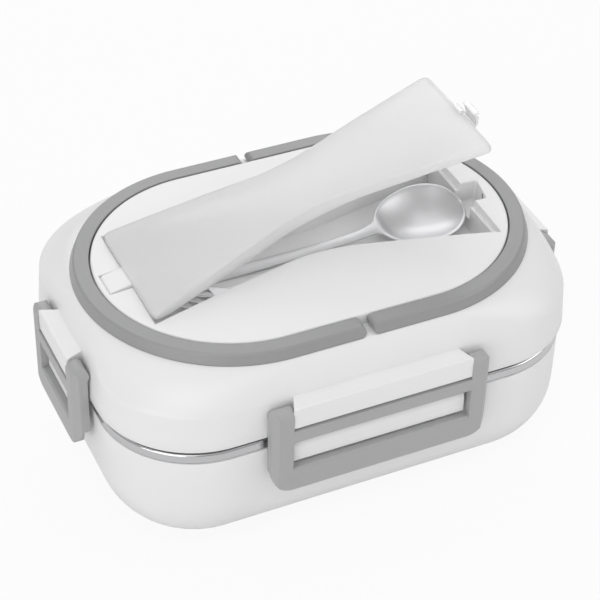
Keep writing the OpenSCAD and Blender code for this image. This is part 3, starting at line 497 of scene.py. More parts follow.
def make_base():
    """Tub with a rounded bottom, holes for its screws and feet, catches and the inlet's opening."""
    inner_r, inner_low, inner_edge = BASE_R - BASE_WALL, 40, 0.4
    edge, soft, wall_rows, window_gap = 0.5, 0.15, (52, 44), 0.6
    wall = [(inner_r, inner_low), (inner_r, BASE_TOP - inner_edge), (inner_r + inner_edge, BASE_TOP)]
    wall += [(BASE_R - edge, BASE_TOP), (BASE_R - soft, BASE_TOP - soft), (BASE_R, BASE_TOP - edge)]
    wall += [(BASE_R, z) for z in wall_rows]
    wall += arc(BASE_R - BOTTOM_ROUND, FOOT_STAND + BOTTOM_ROUND, BOTTOM_ROUND, 0, -90, 30)
    holes, cups = [], []
    for x, y, r, top in (SCREW_HOLE, FOOT_HOLE):
        for sx, sy in QUARTERS:
            circle = [(sx * x + r * cos_deg(a), sy * y + r * sin_deg(a)) for a in range(0, 360, 15)]
            holes.append(circle)
            cups.append(loft([[(px, py, z) for px, py in circle] for z in (FOOT_STAND, top)]))
    outline = [p[:2] for p in body_loop(BASE_R - BOTTOM_ROUND, 0, ROUND_STEPS)]
    bottom_v, bottom_f = flat_region(outline, holes, height=lambda x, y: FOOT_STAND)
    skin = merge(loft(shell_of(wall, ROUND_STEPS)), (bottom_v, flipped(bottom_f)), *cups)
    obj = add_piece("base_skin", *skin, "base", "white_body", ["base_shell"])
    weld(obj)
    half_h = INLET_H / 2 + window_gap
    cut_window(obj, INLET_W / 2 + window_gap, INLET_Z - half_h, INLET_Z + half_h)
    for side in SIDES:
        make_catch(side)
    make_inlet_collar()


def weld(obj):
    """Joins vertices that lie on each other."""
    with edited(obj.data) as bm:
        bmesh.ops.remove_doubles(bm, verts=bm.verts, dist=WELD_METRES)
    mark_sharp(obj.data, HARD_ANGLE)


def cut_window(obj, half, low, high):
    """Opens the back of the tub's skin behind the inlet's collar."""
    back_y = 50
    planes = [((s * half, 0, 0), (1, 0, 0)) for s in (1, -1)]
    planes += [((0, 0, z), (0, 0, 1)) for z in (low, high)]
    with edited(obj.data) as bm:
        for point, normal in planes:
            near = [f for f in bm.faces if f.calc_center_median().y > back_y * MM]
            geom = near + [e for f in near for e in f.edges] + [v for f in near for v in f.verts]
            bmesh.ops.bisect_plane(bm, geom=list(set(geom)), plane_co=Vector(point) * MM, plane_no=normal)
        gone = []
        for f in bm.faces:
            x, y, z = f.calc_center_median() / MM
            if abs(x) < half and low < z < high and y > back_y:
                gone.append(f)
        bmesh.ops.delete(bm, geom=gone, context="FACES")


def make_catch(side):
    """Round-topped bar on the tub that the latch hooks under."""
    face, root, low, edge, end_gap = -4.5, 1.9, 55.0, 0.5, 1.4
    back, high, step, round_r = 1.4, 68.4, 60.8, 5.4
    profile = [(root, low), (face + edge, low), (face, low + edge)]
    profile += arc(face + round_r, high - round_r, round_r, 180, 90, 10)
    profile += [(back, high), (back, step), (root, step)]
    side_bar(f"catch_{side}", side, profile, side_half(side) - end_gap, "base", round_mm=0.35)


def make_inlet_collar():
    """Flat-faced collar round the inlet."""
    corner, mouth_corner, edge, steps = 3.5, 2.5, 0.3, 6
    half_w, half_h, back = INLET_W / 2 + INLET_RIM, INLET_H / 2 + INLET_RIM, INLET_Y - INLET_DEPTH
    outer = rounded_loop(half_w, half_h, corner, 0, steps)
    shrunk = rounded_loop(half_w - edge, half_h - edge, corner - edge, 0, steps)
    mouth = rounded_loop(INLET_W / 2, INLET_H / 2, mouth_corner, 0, steps)
    stations = [(outer, back), (outer, INLET_Y - edge), (shrunk, INLET_Y), (mouth, INLET_Y), (mouth, back)]
    loops = [[(-x, y, INLET_Z + z) for x, z, _ in loop] for loop, y in stations]
    add_piece("inlet_collar", *loft(loops), "base", "white_body")


def make_liner():
    """Grey inner tub with a rim that lies on the tub's, and the heating plate's hole in its floor."""

    def bowl(r, floor, rounding):
        return arc(r - rounding, floor + rounding, rounding, -90, 0, 14)

    edge, in_round = 0.4, LINER_ROUND - LINER_WALL
    profile = bowl(LINER_R, LINER_BOTTOM, LINER_ROUND)
    profile += [(LINER_R, BASE_TOP), (LINER_RIM_R - edge, BASE_TOP), (LINER_RIM_R, BASE_TOP + edge)]
    profile += [(LINER_RIM_R, LINER_TOP - edge), (LINER_RIM_R - edge, LINER_TOP)]
    profile += [(LINER_IN_R + edge, LINER_TOP), (LINER_IN_R, LINER_TOP - edge)]
    profile += reversed(bowl(LINER_IN_R, LINER_FLOOR, in_round))
    hole = [p[:2] for p in rounded_loop(PLATE_HOLE_L, PLATE_HOLE_W, PLATE_HOLE_R, 0, 8)]
    outline = [p[:2] for p in body_loop(LINER_IN_R - in_round, 0, LINER_STEPS)]
    floor = flat_region(outline, [hole], height=lambda x, y: LINER_FLOOR)
    rim = loft([[(*p, z) for p in hole] for z in (LINER_FLOOR, LINER_BOTTOM)])
    skin = merge(loft(shell_of(profile, LINER_STEPS)), floor, rim)
    weld(add_piece("liner_skin", *skin, "base", "grey_liner", ["base_liner"]))


def make_container():
    """Steel tub with a rounded rim and a turned-down, curled edge."""
    under, neck, bend, band_in, band_out = RIM_TOP - STEEL, 0.3, 0.6, 45.2, 45.85
    curl_low, curl_high, rim_round, mouth_round = 62.2, 63.5, 1.4, 1.2
    profile = arc(CAN_R - CAN_ROUND, CAN_BOTTOM + CAN_ROUND, CAN_ROUND, -90, 0, 12)
    profile += [(CAN_R, under - neck), (CAN_R + neck, under)]
    profile += [(band_in - bend, under), (band_in, under - bend)]
    profile += [(band_in, curl_low + 0.3), (band_in + 0.1, curl_low), (CAN_EDGE_R - 0.25, curl_low)]
    profile += [(CAN_EDGE_R, curl_low + 0.3), (CAN_EDGE_R, curl_high - 0.5), (band_out, curl_high)]
    profile += [(band_out, RIM_TOP - 1.5)]
    profile += arc(band_out - rim_round, RIM_TOP - rim_round, rim_round, 0, 90, 6)
    in_r, in_round = CAN_R - STEEL, CAN_ROUND - STEEL
    profile += arc(in_r + mouth_round, RIM_TOP - mouth_round, mouth_round, 90, 180, 5)
    profile += arc(in_r - in_round, CAN_BOTTOM + STEEL + in_round, in_round, 0, -90, 12)
    skin = loft(shell_of(profile, ROUND_STEPS), close_start=True, close_end=True)
    add_piece("container_skin", *skin, "container", "polished_steel", ["container"], sharp=SOFT_ANGLE)


# ---- Lid ----


def shoulder(t):
    """Half length, half width, corner radius and height at share t of the shoulder."""
    w = 1 - cos_deg(90 * t) ** (2 / SHOULDER_BOW)
    v = sin_deg(90 * t) ** (2 / SHOULDER_BOW)
    a0, b0, r0 = BODY_L / 2 - SKIRT_LEAN, BODY_W / 2 - SKIRT_LEAN, CORNER_R - SKIRT_LEAN
    a = a0 + (END_L + SEAT_R - a0) * w
    b = b0 + (SEAT_R - b0) * w
    r = min(r0 + (SEAT_R - r0) * w, b - HAIR)
    return a, b, r, CREASE_Z + (SEAT_Z - CREASE_Z) * v


def make_lid():
    """Domed shell: a rim, a leaning skirt and a bowed shoulder up to the ring's seat, with four lugs."""
    inner_high, inner_edge, edge, soft = 2.5, 0.4, 0.5, 0.15
    skirt_rows, seat_rows = (76, 82, 86, 87.6), (4, 12)
    rows = [(LID_WALL, SEAM_Z + inner_high), (LID_WALL, SEAM_Z + inner_edge), (LID_WALL - inner_edge, SEAM_Z)]
    rows += [(edge, SEAM_Z), (soft, SEAM_Z + soft), (0.0, SEAM_Z + edge)]
    rows += [(SKIRT_LEAN * (z - SEAM_Z) / SKIRT_H, z) for z in skirt_rows]
    loops = [rounded_loop(BODY_L / 2 - d, BODY_W / 2 - d, CORNER_R - d, z, ROUND_STEPS) for d, z in rows]
    for i in range(SHOULDER_STEPS + 1):
        loops.append(rounded_loop(*shoulder(i / SHOULDER_STEPS), ROUND_STEPS))
    for d in seat_rows:
        loops.append(rounded_loop(END_L + SEAT_R - d, SEAT_R - d, SEAT_R - d - HAIR, SEAT_Z, ROUND_STEPS))
    add_piece("lid_skin", *loft(loops), "lid", "white_body", ["lid_shell"], sharp=SOFT_ANGLE)
    for side in SIDES:
        make_lug(side)


def make_lug(side):
    """Block between the latch arms that runs out into the shoulder."""
    face, root, low, high, edge, low_edge = -7.2, 2.4, 77.5, 88.9, 0.8, 0.3
    blend, blend_low, overlap = [(0.6, 0.1), (1.4, 0.3), (2.2, 0.8), (3.0, 0.8)], 86, 0.2
    profile = [(root, low), (face + low_edge, low), (face, low + low_edge)]
    profile += arc(face + edge, high - edge, edge, 180, 90, 6)
    profile += [(y, high + rise) for y, rise in blend] + [(root, blend_low)]
    side_bar(f"lug_{side}", side, profile, side_half(side) + overlap, "lid", round_mm=0.3, ends=0.4)


def stadium_share(x, y):
    """0 at the middle of the lid's top, 1 on the outline of the top panel."""
    x, y = abs(x), abs(y)

    def covered(share):
        end, r = END_L * share, PANEL_R * share
        return y <= r if x <= end else math.hypot(x - end, y) <= r

    return sum(bisect(0.0, 2.0, 40, covered)) / 2


def crown(x, y):
    """Height of the crowned top."""
    return RING_Z + CROWN * (1 - stadium_share(x, y) ** 2)


def crown_normal(x, y):
    """Direction that the crowned top faces."""
    step = 0.5
    dx = (crown(x + step, y) - crown(x - step, y)) / (2 * step)
    dy = (crown(x, y + step) - crown(x, y - step)) / (2 * step)
    return Vector((-dx, -dy, 1)).normalized()


def waist_angle(half, end, mid):
    """Degrees of the waist's arc after which its tangent runs on to the recess's corner."""

    def reached(a):
        return mid + WAIST_R - WAIST_R / cos_deg(a) + math.tan(math.radians(a)) * half >= end

    return bisect(0.0, 60.0, 40, reached)[0]


def waist_side(margin, steps=12):
    """The long side of the recess, from left to right, at +y."""
    half, end, mid = TRAY_HALF - margin, TRAY_END - margin, TRAY_WAIST - margin
    a = waist_angle(half, end, mid)
    bend = [
        (WAIST_R * sin_deg(a * i / steps), mid + WAIST_R - WAIST_R * cos_deg(a * i / steps))
        for i in range(-steps, steps + 1)
    ]
    return [(-half, end), *bend, (half, end)]


def side_y(x, margin):
    """Half width of the recess at x."""
    side = waist_side(margin)
    for (x0, y0), (x1, y1) in zip(side, side[1:]):
        if x0 <= x <= x1:
            return y0 + (y1 - y0) * (x - x0) / (x1 - x0)
    return side[-1][1]


def waist_loop(margin, stop):
    """Closed outline of the recess cut off at x = +-stop."""
    side = [p for p in waist_side(margin) if abs(p[0]) < stop - HAIR]
    y = side_y(stop, margin)
    top = [(stop, y), *reversed(side), (-stop, y)]
    return top + mirrored(top)


def grid_inside(outline, holes=()):
    """Grid points inside an outline and clear of its edges."""
    columns, rows = 30, 20
    near = [p for loop in [outline, *holes] for p in dense(loop, MESH_STEP / 2)]
    found = []
    for i in range(-columns, columns + 1):
        for j in range(-rows, rows + 1):
            p = (i * MESH_STEP, j * MESH_STEP)
            if inside(p, outline) and not any(inside(p, h) for h in holes):
                if min((p[0] - q[0]) ** 2 + (p[1] - q[1]) ** 2 for q in near) > MESH_CLEAR * MESH_CLEAR:
                    found.append(p)
    return found


def dense(loop, step):
    """Points along a loop no further apart than step."""
    out = []
    for i in range(len(loop)):
        a, b = Vector(loop[i][:2]), Vector(loop[(i + 1) % len(loop)][:2])
        n = max(1, math.ceil((b - a).length / step))
        out += [tuple(a + (b - a) * k / n) for k in range(n)]
    return out


def rounded_edge(loop, radius, steps, side):
    """Loops over a rounded edge, from the crowned top down to the wall that stands along a loop.

    The top lies outside the loop where side is 1 and inside it where side is -1.
    """
    out = []
    for i in range(steps + 1):
        a = 90 * i / steps
        ring = offset(loop, side * radius * (1 - sin_deg(a)))
        out.append([(x, y, crown(x, y) - radius * (1 - cos_deg(a))) for x, y in ring])
    return out


def pocket_outline():
    """The clip's pocket from its near side to its far side, with cut corners."""
    (near_x, near_y), (far_x, far_y), cut = POCKET_NEAR, POCKET_FAR, 1
    near = [(TRAY_HALF, near_y), (near_x - cut, near_y), (near_x, near_y + cut)]
    return near + [(far_x, far_y - cut), (far_x - cut, far_y), (TRAY_HALF, far_y)]


def recess_outline():
    """Outline of the recess with the hinge's slot on its left and the clip's pocket on its right."""
    y = side_y(LEDGE_X, 0)
    side = [(LEDGE_X, y), *[p for p in reversed(waist_side(0)) if abs(p[0]) < LEDGE_X], (-LEDGE_X, y)]
    left = [(-TRAY_HALF, TRAY_END), (-TRAY_HALF, SLOT_HALF), (-SLOT_END, SLOT_HALF)]
    outline = [(TRAY_HALF, TRAY_END), *side, *left, *mirrored(left), *mirrored(side)]
    return dense(outline + [(TRAY_HALF, -TRAY_END), *pocket_outline()], MESH_STEP)


def floor_between(p, q):
    """Height of the recess's floor along the wall from p to q."""
    x, y = (p[0] + q[0]) / 2, (p[1] + q[1]) / 2
    if abs(x) < LEDGE_X:
        return TRAY_Z
    if x < 0 and abs(y) < SLOT_HALF + HAIR:
        return SLOT_Z
    return POCKET_Z if x > TRAY_HALF + HAIR else LEDGE_Z


def recess_walls(outline, top):
    """Walls from the loop at the foot of the rounded edge down to the floors."""
    walls = [], []
    for i in range(len(outline)):
        k = (i + 1) % len(outline)
        z = floor_between(outline[i], outline[k])
        quad = [top[i], top[k], (*outline[k], z), (*outline[i], z)]
        walls = merge(walls, (quad, [(3, 2, 1, 0)]))
    return walls


def recess_floors():
    """Floor, end ledges, hinge slot and pocket, with the steps between them."""
    near_y, far_y, wall_y = POCKET_NEAR[1], POCKET_FAR[1], side_y(LEDGE_X, 0)
    flats = []
    for s, y in ((1, far_y), (-1, near_y)):
        ledge, slot, waist = s * TRAY_END, s * SLOT_HALF, s * wall_y
        right = [(LEDGE_X, y), (TRAY_HALF, y), (TRAY_HALF, ledge), (LEDGE_X, waist)]
        left = [(-LEDGE_X, slot), (-TRAY_HALF, slot), (-TRAY_HALF, ledge), (-LEDGE_X, waist)]
        flats += [level(right, LEDGE_Z), level(left, LEDGE_Z)]
        flats.append(upright(right[0], right[3], TRAY_Z, LEDGE_Z, s < 0))
        flats.append(upright(left[0], left[3], TRAY_Z, LEDGE_Z, s > 0))
        flats.append(upright(left[0], left[1], SLOT_Z, LEDGE_Z, s > 0))
        flats.append(upright(right[0], right[1], POCKET_Z, LEDGE_Z, s > 0))
    slot = [(-LEDGE_X, -SLOT_HALF), (-LEDGE_X, SLOT_HALF), (-SLOT_END, SLOT_HALF), (-SLOT_END, -SLOT_HALF)]
    flats.append(upright((LEDGE_X, near_y), (LEDGE_X, far_y), TRAY_Z, POCKET_Z, False))
    flats.append(upright(*slot[:2], TRAY_Z, SLOT_Z, True))
    flats.append(level([slot[3], *slot[:3]], SLOT_Z))
    flats.append(level([(LEDGE_X, near_y), *pocket_outline(), (LEDGE_X, far_y)], POCKET_Z))
    return merge(*flats, level(waist_loop(0, LEDGE_X), TRAY_Z))


def make_top_panel():
    """Crowned panel with the waisted recess, its end ledges, clip pocket and hinge slot."""
    edge_r, recess_edge_r, foot, steps, shortest = 0.9, 0.5, 0.5, 32, 0.1
    outer = [p[:2] for p in rounded_loop(END_L + PANEL_R, PANEL_R, PANEL_R - HAIR, 0, steps)]
    outer = dense([p for i, p in enumerate(outer) if math.dist(p, outer[i - 1]) > shortest], MESH_STEP)
    outline = recess_outline()
    top_edge, mouth = offset(outer, -edge_r), offset(outline, recess_edge_r)
    top = flat_region(top_edge, [mouth], grid_inside(top_edge, [mouth]), crown)
    rim = rounded_edge(outer, edge_r, 4, -1) + [[(x, y, SEAT_Z - foot) for x, y in outer]]
    lip = rounded_edge(outline, recess_edge_r, 3, 1)
    rest = merge(loft(rim[::-1]), loft(lip[::-1]), recess_walls(outline, lip[-1]), recess_floors())
    normals = [tuple(crown_normal(x, y)) for x, y, _ in top[0]] + [(0, 0, 0)] * len(rest[0])
    skin = merge(top, rest)
    add_piece("top_panel_skin", *skin, "lid", "white_body", ["lid_top_panel"], normals=normals)
    make_painted_slot_shade()


def make_painted_slot_shade():
    """Painted shade: a dark three-cornered patch on the pocket's end wall that stands in for the shade inside
    the slot where the clip's barb snaps in.
    """
    (near_x, near_y), (far_x, far_y) = POCKET_NEAR, POCKET_FAR
    lean = (far_x - near_x) / (far_y - near_y)
    corners, proud, sunk = [(-2.6, -1.2), (-7.4, -1.0), (-3.4, -4.6)], 0.06, 0.8
    verts = []
    for out in (-proud, sunk):
        verts += [(near_x + lean * (y - near_y) + out, y, RING_Z + z) for y, z in corners]
    faces = [(0, 1, 2), (3, 5, 4), (0, 3, 4, 1), (1, 4, 5, 2), (2, 5, 3, 0)]
    # The dark plastic here is painted shade for the slot's hollow, laid just proud of the white wall in place
    # of a hole.
    add_piece("painted_slot_shade", verts, faces, "lid", "dark_plastic")


def level(points, z):
    """A flat face looking up."""
    p = points if turns_left(points) else list(reversed(points))
    return [(x, y, z) for x, y in p], [tuple(range(len(p)))]


def upright(a, b, low, high, flip):
    """A flat upright face over the line from a to b."""
    quad = [(*a, low), (*b, low), (*b, high), (*a, high)]
    return quad, [(3, 2, 1, 0) if flip else (0, 1, 2, 3)]


# ---- Cutlery cover ----


def about_hinge(angle):
    """Turn of the cover about its pin by an angle in degrees."""
    pivot = Matrix.Translation(Vector((-HINGE_X, 0, HINGE_Z)) * MM)
    return pivot @ Matrix.Rotation(-math.radians(angle), 4, "Y") @ pivot.inverted()


def soften(loop, radius, n=4):
    """Rounds the corners of a loop that turn by more than 30 degrees."""
    straight, out = math.radians(150), []
    for i in range(len(loop)):
        here = Vector(loop[i])
        u, v = Vector(loop[i - 1]) - here, Vector(loop[(i + 1) % len(loop)]) - here
        if u.angle(v) < straight:
            cut = min(radius / math.tan(u.angle(v) / 2), u.length / 2, v.length / 2)
            a, b = here + u.normalized() * cut, here + v.normalized() * cut
            for k in range(n + 1):
                t = k / n
                out.append(tuple(a * (1 - t) ** 2 + here * 2 * t * (1 - t) + b * t * t))
        else:
            out.append(tuple(here))
    return out


def lip_low(x, end):
    """Height of the lip's lower edge: shallow on the hinge's ledge and towards the free end."""
    hinge_lip, free_lip, ledge_x, deep_x, rise_x = 2.9, 2.1, -end + 3.3, -end + 5.1, 29
    stations = [(-end, hinge_lip), (ledge_x, hinge_lip), (deep_x, LIP_DEPTH)]
    stations += [(0, LIP_DEPTH), (rise_x, free_lip), (end, free_lip)]
    return RING_Z - glide(stations, x)


def cover_outline(end):
    """Waisted outline of the cover, drawn out to its gaps at both ends, with rounded corners."""
    ends_at = {-end: HINGE_END_GAP - TRAY_HALF, end: TRAY_HALF - FREE_END_GAP}
    outline = [(ends_at.get(x, x), y) for x, y in waist_loop(COVER_GAP, end)]
    return dense(soften(outline, COVER_ROUND), MESH_STEP)


def cover_side(outer, end):
    """Loops from the edge of the flat top over its rounding, down the lip and up to the underside."""
    loops = rounded_edge(outer, COVER_EDGE, 4, -1)
    inner = offset(outer, -LIP_T)
    low_in, low_out = offset(outer, LIP_EDGE - LIP_T), offset(outer, -LIP_EDGE)
    for loop, rise in ((outer, LIP_EDGE), (low_out, 0.0), (low_in, 0.0), (inner, LIP_EDGE)):
        loops.append([(x, y, lip_low(x, end) + rise) for x, y in loop])
    blend = [(x, y, max(lip_low(x, end) + LIP_EDGE, under_crown(x, y) - LIP_BLEND)) for x, y in inner]
    return loops + [blend, [(x, y, under_crown(x, y)) for x, y in offset(inner, -LIP_BLEND)]]


def under_crown(x, y):
    """Height of the cover's underside."""
    return crown(x, y) - COVER_T


def make_cover():
    """Frosted cover with long lips, hinge tab and spring clip, drawn shut and then swung open."""
    end, swing = TRAY_HALF - COVER_GAP, about_hinge(COVER_OPEN)
    loops = cover_side(cover_outline(end), end)
    flat, root = ([p[:2] for p in loop] for loop in (loops[0], loops[-1]))
    top = flat_region(flat, (), grid_inside(flat), crown)
    under = flat_region(root, (), grid_inside(root), under_crown)
    side = loft(loops)
    normals = [tuple(crown_normal(x, y)) for x, y, _ in top[0]]
    normals += [tuple(-crown_normal(x, y)) for x, y, _ in under[0]] + [(0, 0, 0)] * len(side[0])
    skin = merge(top, (under[0], flipped(under[1])), (side[0], flipped(side[1])))
    add_piece(
        "cover_skin", *skin, "cover", "frosted_cover", ["cutlery_cover"], sharp=SOFT_ANGLE, normals=normals,
        transform=swing,
    )
    make_tab(end, swing)
    make_clip(end, swing)


def add_across(name, profile, half, swing, round_mm, shift=0.0, look=None):
    """A part of the cover with a profile (x, z) that is the same from y = shift - half to shift + half."""
    skin = prism(profile, -half, half, lambda u, v, w: (u, shift - w, v))
    obj = add_piece(name, *skin, "cover", "frosted_cover", look=look, transform=swing)
    bevel(obj, round_mm)


def make_tab(end, swing):
    """Hinge tab from the cover's end to the pin."""
    root, neck, slack = 2.5 - end, -end - 1, 0.3
    pin_low, root_low, root_high, neck_high = (HINGE_Z + rise for rise in (-1.0, -0.6, 1.2, 1.4))
    tab = arc(-HINGE_X, HINGE_Z, TAB_R, 90, 270, 12)
    tab += [(-HINGE_X, pin_low), (root, root_low), (root, root_high)]
    tab += [(neck, neck_high), (-HINGE_X, HINGE_Z + TAB_R)]
    add_across("cover_tab", tab, TAB_W / 2 - slack, swing, round_mm=0.3, look="frosted_tab")


def make_clip(end, swing):
    """Spring clip: a leg, a bend and an outer leg with a barb and a thumb pad, under a small hump."""
    leg, top, t = end + 0.3, RING_Z - 1.25, CLIP_T
    low, outer, centre = top - 5.2, leg + 2 * CLIP_BEND, leg + CLIP_BEND
    inner, pad, pad_edge, ear, barb = outer - t, outer + CLIP_PAD, 0.3, 0.6, 0.8
    ear_z, pad_mid, stub, pad_low, notch = (top - fall for fall in (0.4, 0.5, 0.6, 1.3, 1.6))
    barb_high, barb_mid, barb_low = (top - fall for fall in (2.6, 3.6, 5.0))
    path = [(leg + t, stub), (leg + t, low), *arc(centre, low, CLIP_BEND - t, 180, 360, 8)[1:]]
    path += [(inner, notch), (inner - ear, ear_z), (inner, top), (pad, top)]
    path += [(pad + pad_edge, pad_mid), (pad, pad_low), (outer, notch)]
    path += [(outer, barb_high), (outer + barb, barb_mid), (outer, barb_low)]
    path += [*arc(centre, low, CLIP_BEND, 360, 180, 10), (leg, stub)]
    add_across("cover_clip", path, CLIP_HALF, swing, round_mm=0.35)
    hump_x, hump_z, hump_r, hump_half, hump_y = end + 0.4, RING_Z - 0.62, 2.1, 3.4, 0.8
    near_low, far_low = RING_Z - 0.9, RING_Z - 2.6
    hump = [(hump_x - hump_r, near_low), *arc(hump_x, hump_z, hump_r, 180, 0, 12)]
    hump += [(hump_x + hump_r, far_low)]
    add_across("clip_hump", hump, hump_half, swing, round_mm=0.5, shift=hump_y)


# ---- Cutlery ----


def glide(stations, x):
    """Smooth monotone curve through (x, value) stations."""
    if x <= stations[0][0]:
        return stations[0][1]
    if x >= stations[-1][0]:
        return stations[-1][1]
    slopes = [(b[1] - a[1]) / (b[0] - a[0]) for a, b in zip(stations, stations[1:])]
    bends = [0.0]
    for m0, m1 in zip(slopes, slopes[1:]):
        bends.append(2 * m0 * m1 / (m0 + m1) if m0 * m1 > 0 else 0.0)
    bends.append(0.0)
    k = next(i for i in range(len(slopes)) if x <= stations[i + 1][0])
    (x0, y0), (x1, y1) = stations[k], stations[k + 1]
    h = x1 - x0
    t = (x - x0) / h
    return (
        y0 * (1 + 2 * t) * (1 - t) ** 2 + h * bends[k] * t * (1 - t) ** 2
        + y1 * t * t * (3 - 2 * t) - h * bends[k + 1] * t * t * (1 - t)
    )


def ease(t):
    """Smooth step from 0 to 1."""
    t = min(1.0, max(0.0, t))
    return t * t * (3 - 2 * t)


def sheet_piece(name, rows, cols, point, thickness, body, place, replaces=()):
    """A pressed sheet: a grid of points given thickness and smoothed."""
    verts, faces = [], []
    for i in range(rows + 1):
        for j in range(cols + 1):
            verts.append(point(i / rows, 2 * j / cols - 1))
    for i in range(rows):
        for j in range(cols):
            a = i * (cols + 1) + j
            faces.append((a, a + cols + 1, a + cols + 2, a + 1))
    obj = add_piece(name, verts, faces, body, "cutlery_steel", replaces, transform=place)
    thick = obj.modifiers.new("thickness", "SOLIDIFY")
    thick.thickness = thickness * MM
    thick.offset = -1
    smooth = obj.modifiers.new("smooth", "SUBSURF")
    smooth.levels = smooth.render_levels = 1


# Spoon: x is 0 where the bowl is widest and below 0 along the handle. EGG is the share of its half length
# by which the bowl's widest place lies off its middle. The stations are (x, height) and (x, half width)
BOWL_HALF_L, BOWL_HALF_W, BOWL_DEPTH, SPOON_T, EGG = 22.6, 18.8, 8.2, 1.3, 0.15
BOWL_START, BOWL_END, SPOON_TAIL = -(1 + EGG) * BOWL_HALF_L, (1 - EGG) * BOWL_HALF_L, -133.0
SPOON_PLACE, SPOON_TURN, SPOON_PITCH, SPOON_ROLL = (65.6, 0.2, RING_Z - 5.4), -1.5, -5, 8
SPOON_TOP = [
    (-133, 2.4), (-113, 1.2), (-95, 0.2), (-73, -1.0), (-54, -1.7), (-39, -2.0), (-33, -1.6), (-28, -0.7),
    (-24, -0.3),
]
SPOON_HALF = [
    (-133, 2.6), (-131.5, 3.5), (-126, 3.8), (-95, 3.6), (-73, 3.1), (-54, 2.85), (-38, 2.8), (-30, 3.1),
    (-22, 4.6),
]


def spoon_side(x):
    """Half width of the bowl's outline at x, blunter at the tip than at the neck."""
    along = (1 - math.sqrt(max(0.0, 1 - 4 * EGG * x / BOWL_HALF_L))) / (2 * EGG)
    return BOWL_HALF_W * math.sqrt(max(0.0, 1 - along * along))


def spoon_share(x, y):
    """0 at the bottom of the bowl, 1 on its rim."""

    def covered(share):
        return BOWL_START < x / share < BOWL_END and abs(y) / share <= spoon_side(x / share)

    return bisect(0.0, 1.0, 24, covered)[1]


def make_spoon():
    """Spoon with an egg-shaped bowl and a handle that dips into the tray and widens to its end."""
    dish_from, dish_run, neck_from, neck_run, bow, point_half = -26, 7, -22, 6, 0.35, 0.02

    def point(s, t):
        x = SPOON_TAIL + (BOWL_END - SPOON_TAIL) * s
        bowl_w = spoon_side(x) if x > BOWL_START else 0.0
        handle_w = glide(SPOON_HALF, x) * (1 - ease((x - neck_from) / neck_run))
        w = max(point_half, (bowl_w**4 + handle_w**4) ** 0.25)
        dish = -BOWL_DEPTH * (1 - spoon_share(x, w * t) ** 2) if x > dish_from else 0.0
        crest = glide(SPOON_TOP, x) - bow * t * t
        return (x, w * t, crest + (dish - crest) * ease((x - dish_from) / dish_run))

    place = Matrix.Translation(Vector(SPOON_PLACE) * MM)
    for angle, axis in ((SPOON_TURN, "Z"), (SPOON_PITCH, "Y"), (SPOON_ROLL, "X")):
        place = place @ Matrix.Rotation(math.radians(angle), 4, axis)
    sheet_piece("spoon_skin", 110, 14, point, SPOON_T, "spoon", place, ["spoon"])


# Fork: x is below 0 along the tines and FORK_L at the handle's end, with stations as for the spoon
FORK_PLACE, FORK_L, FORK_T, FORK_BOW = (-48, -13.7, TRAY_Z), 120, 1.3, 0.3
TINES, TINE_PITCH, TINE_ROOT, TINE_L, TINE_HALF, TINE_T = 4, 6.2, -2.4, 26.2, 2.15, 1.2
FORK_TOP = [
    (-28, 13.2), (-24.4, 12.9), (-18, 10.2), (-12, 6.7), (-3.5, 3.2), (2, 1.9), (8, 1.5), (14, 1.6),
    (22, 2.4), (60, 2.2), (100, 1.5),
]
FORK_HALF = [
    (-4, 11.45), (2, 10.2), (8, 6.5), (14, 3.5), (22, 2.7), (60, 3.2), (100, 4.5), (117, 5), (119.5, 3.8),
    (120, 2.6),
]


def make_fork():
    """Fork with curved tines, lying on its bend and on the end of its handle."""
    place = Matrix.Translation(Vector(FORK_PLACE) * MM)
    overlap, taper, tip_taper, tip_from, gather = 0.6, 0.22, 0.45, 0.85, 0.07
    last_y = (TINES - 1) / 2 * TINE_PITCH

    def body_point(s, t):
        x = TINE_ROOT + s * (FORK_L - TINE_ROOT)
        return (x, glide(FORK_HALF, x) * t, glide(FORK_TOP, x) - FORK_BOW * t * t)

    sheet_piece("fork_skin", 60, 8, body_point, FORK_T, "fork", place, ["fork"])
    for i in range(TINES):

        def tine_point(s, t, y=i * TINE_PITCH - last_y):
            x = TINE_ROOT + overlap - s * TINE_L
            w = TINE_HALF * (1 - taper * s) * (1 - tip_taper * ease((s - tip_from) / (1 - tip_from)))
            return (x, y * (1 - gather * s) - w * t, glide(FORK_TOP, x) - FORK_BOW * (y / last_y) ** 2)

        sheet_piece(f"fork_tine_{i + 1}", 14, 2, tine_point, TINE_T, "fork", place)


# ---- Studio, in metres ----

FLOOR_METRES, FLOOR_DARK, FLOOR_LIGHT, FLOOR_GLOW, FLOOR_ROUGH = 12, 0.83, 0.86, 0.9, 0.9
WORLD_LOW, WORLD_HIGH, WORLD_HIGH_AT, WORLD_STRENGTH = 0.42, 0.75, 0.6, 0.75
AIM = (0, 0, 0.06)
LAMPS = [  # name, place, size and power in watts
    ("key", (-0.9, -0.9, 1.5), (1.2, 1.2), 6.5),
    ("fill", (1.3, -0.8, 0.9), (1.0, 1.0), 4.8),
    ("top", (0.1, 0.5, 1.6), (1.4, 1.0), 3.5),
    ("back", (0.6, 2.0, 1.3), (2.0, 1.2), 11.0),
    ("side", (-1.6, -1.2, 0.45), (1.6, 0.8), 8.0),
]
CAMERA_PLACE, CAMERA_SENSOR, CAMERA_REACH = (-0.31679, -0.65933, 0.66347), 36, 20
CAMERA_AZIMUTH, CAMERA_ELEVATION, CAMERA_ROLL = -25.654, 39.084, -1.662
PHOTO_PIXELS, FOCAL_PIXELS = 600, 1945.095


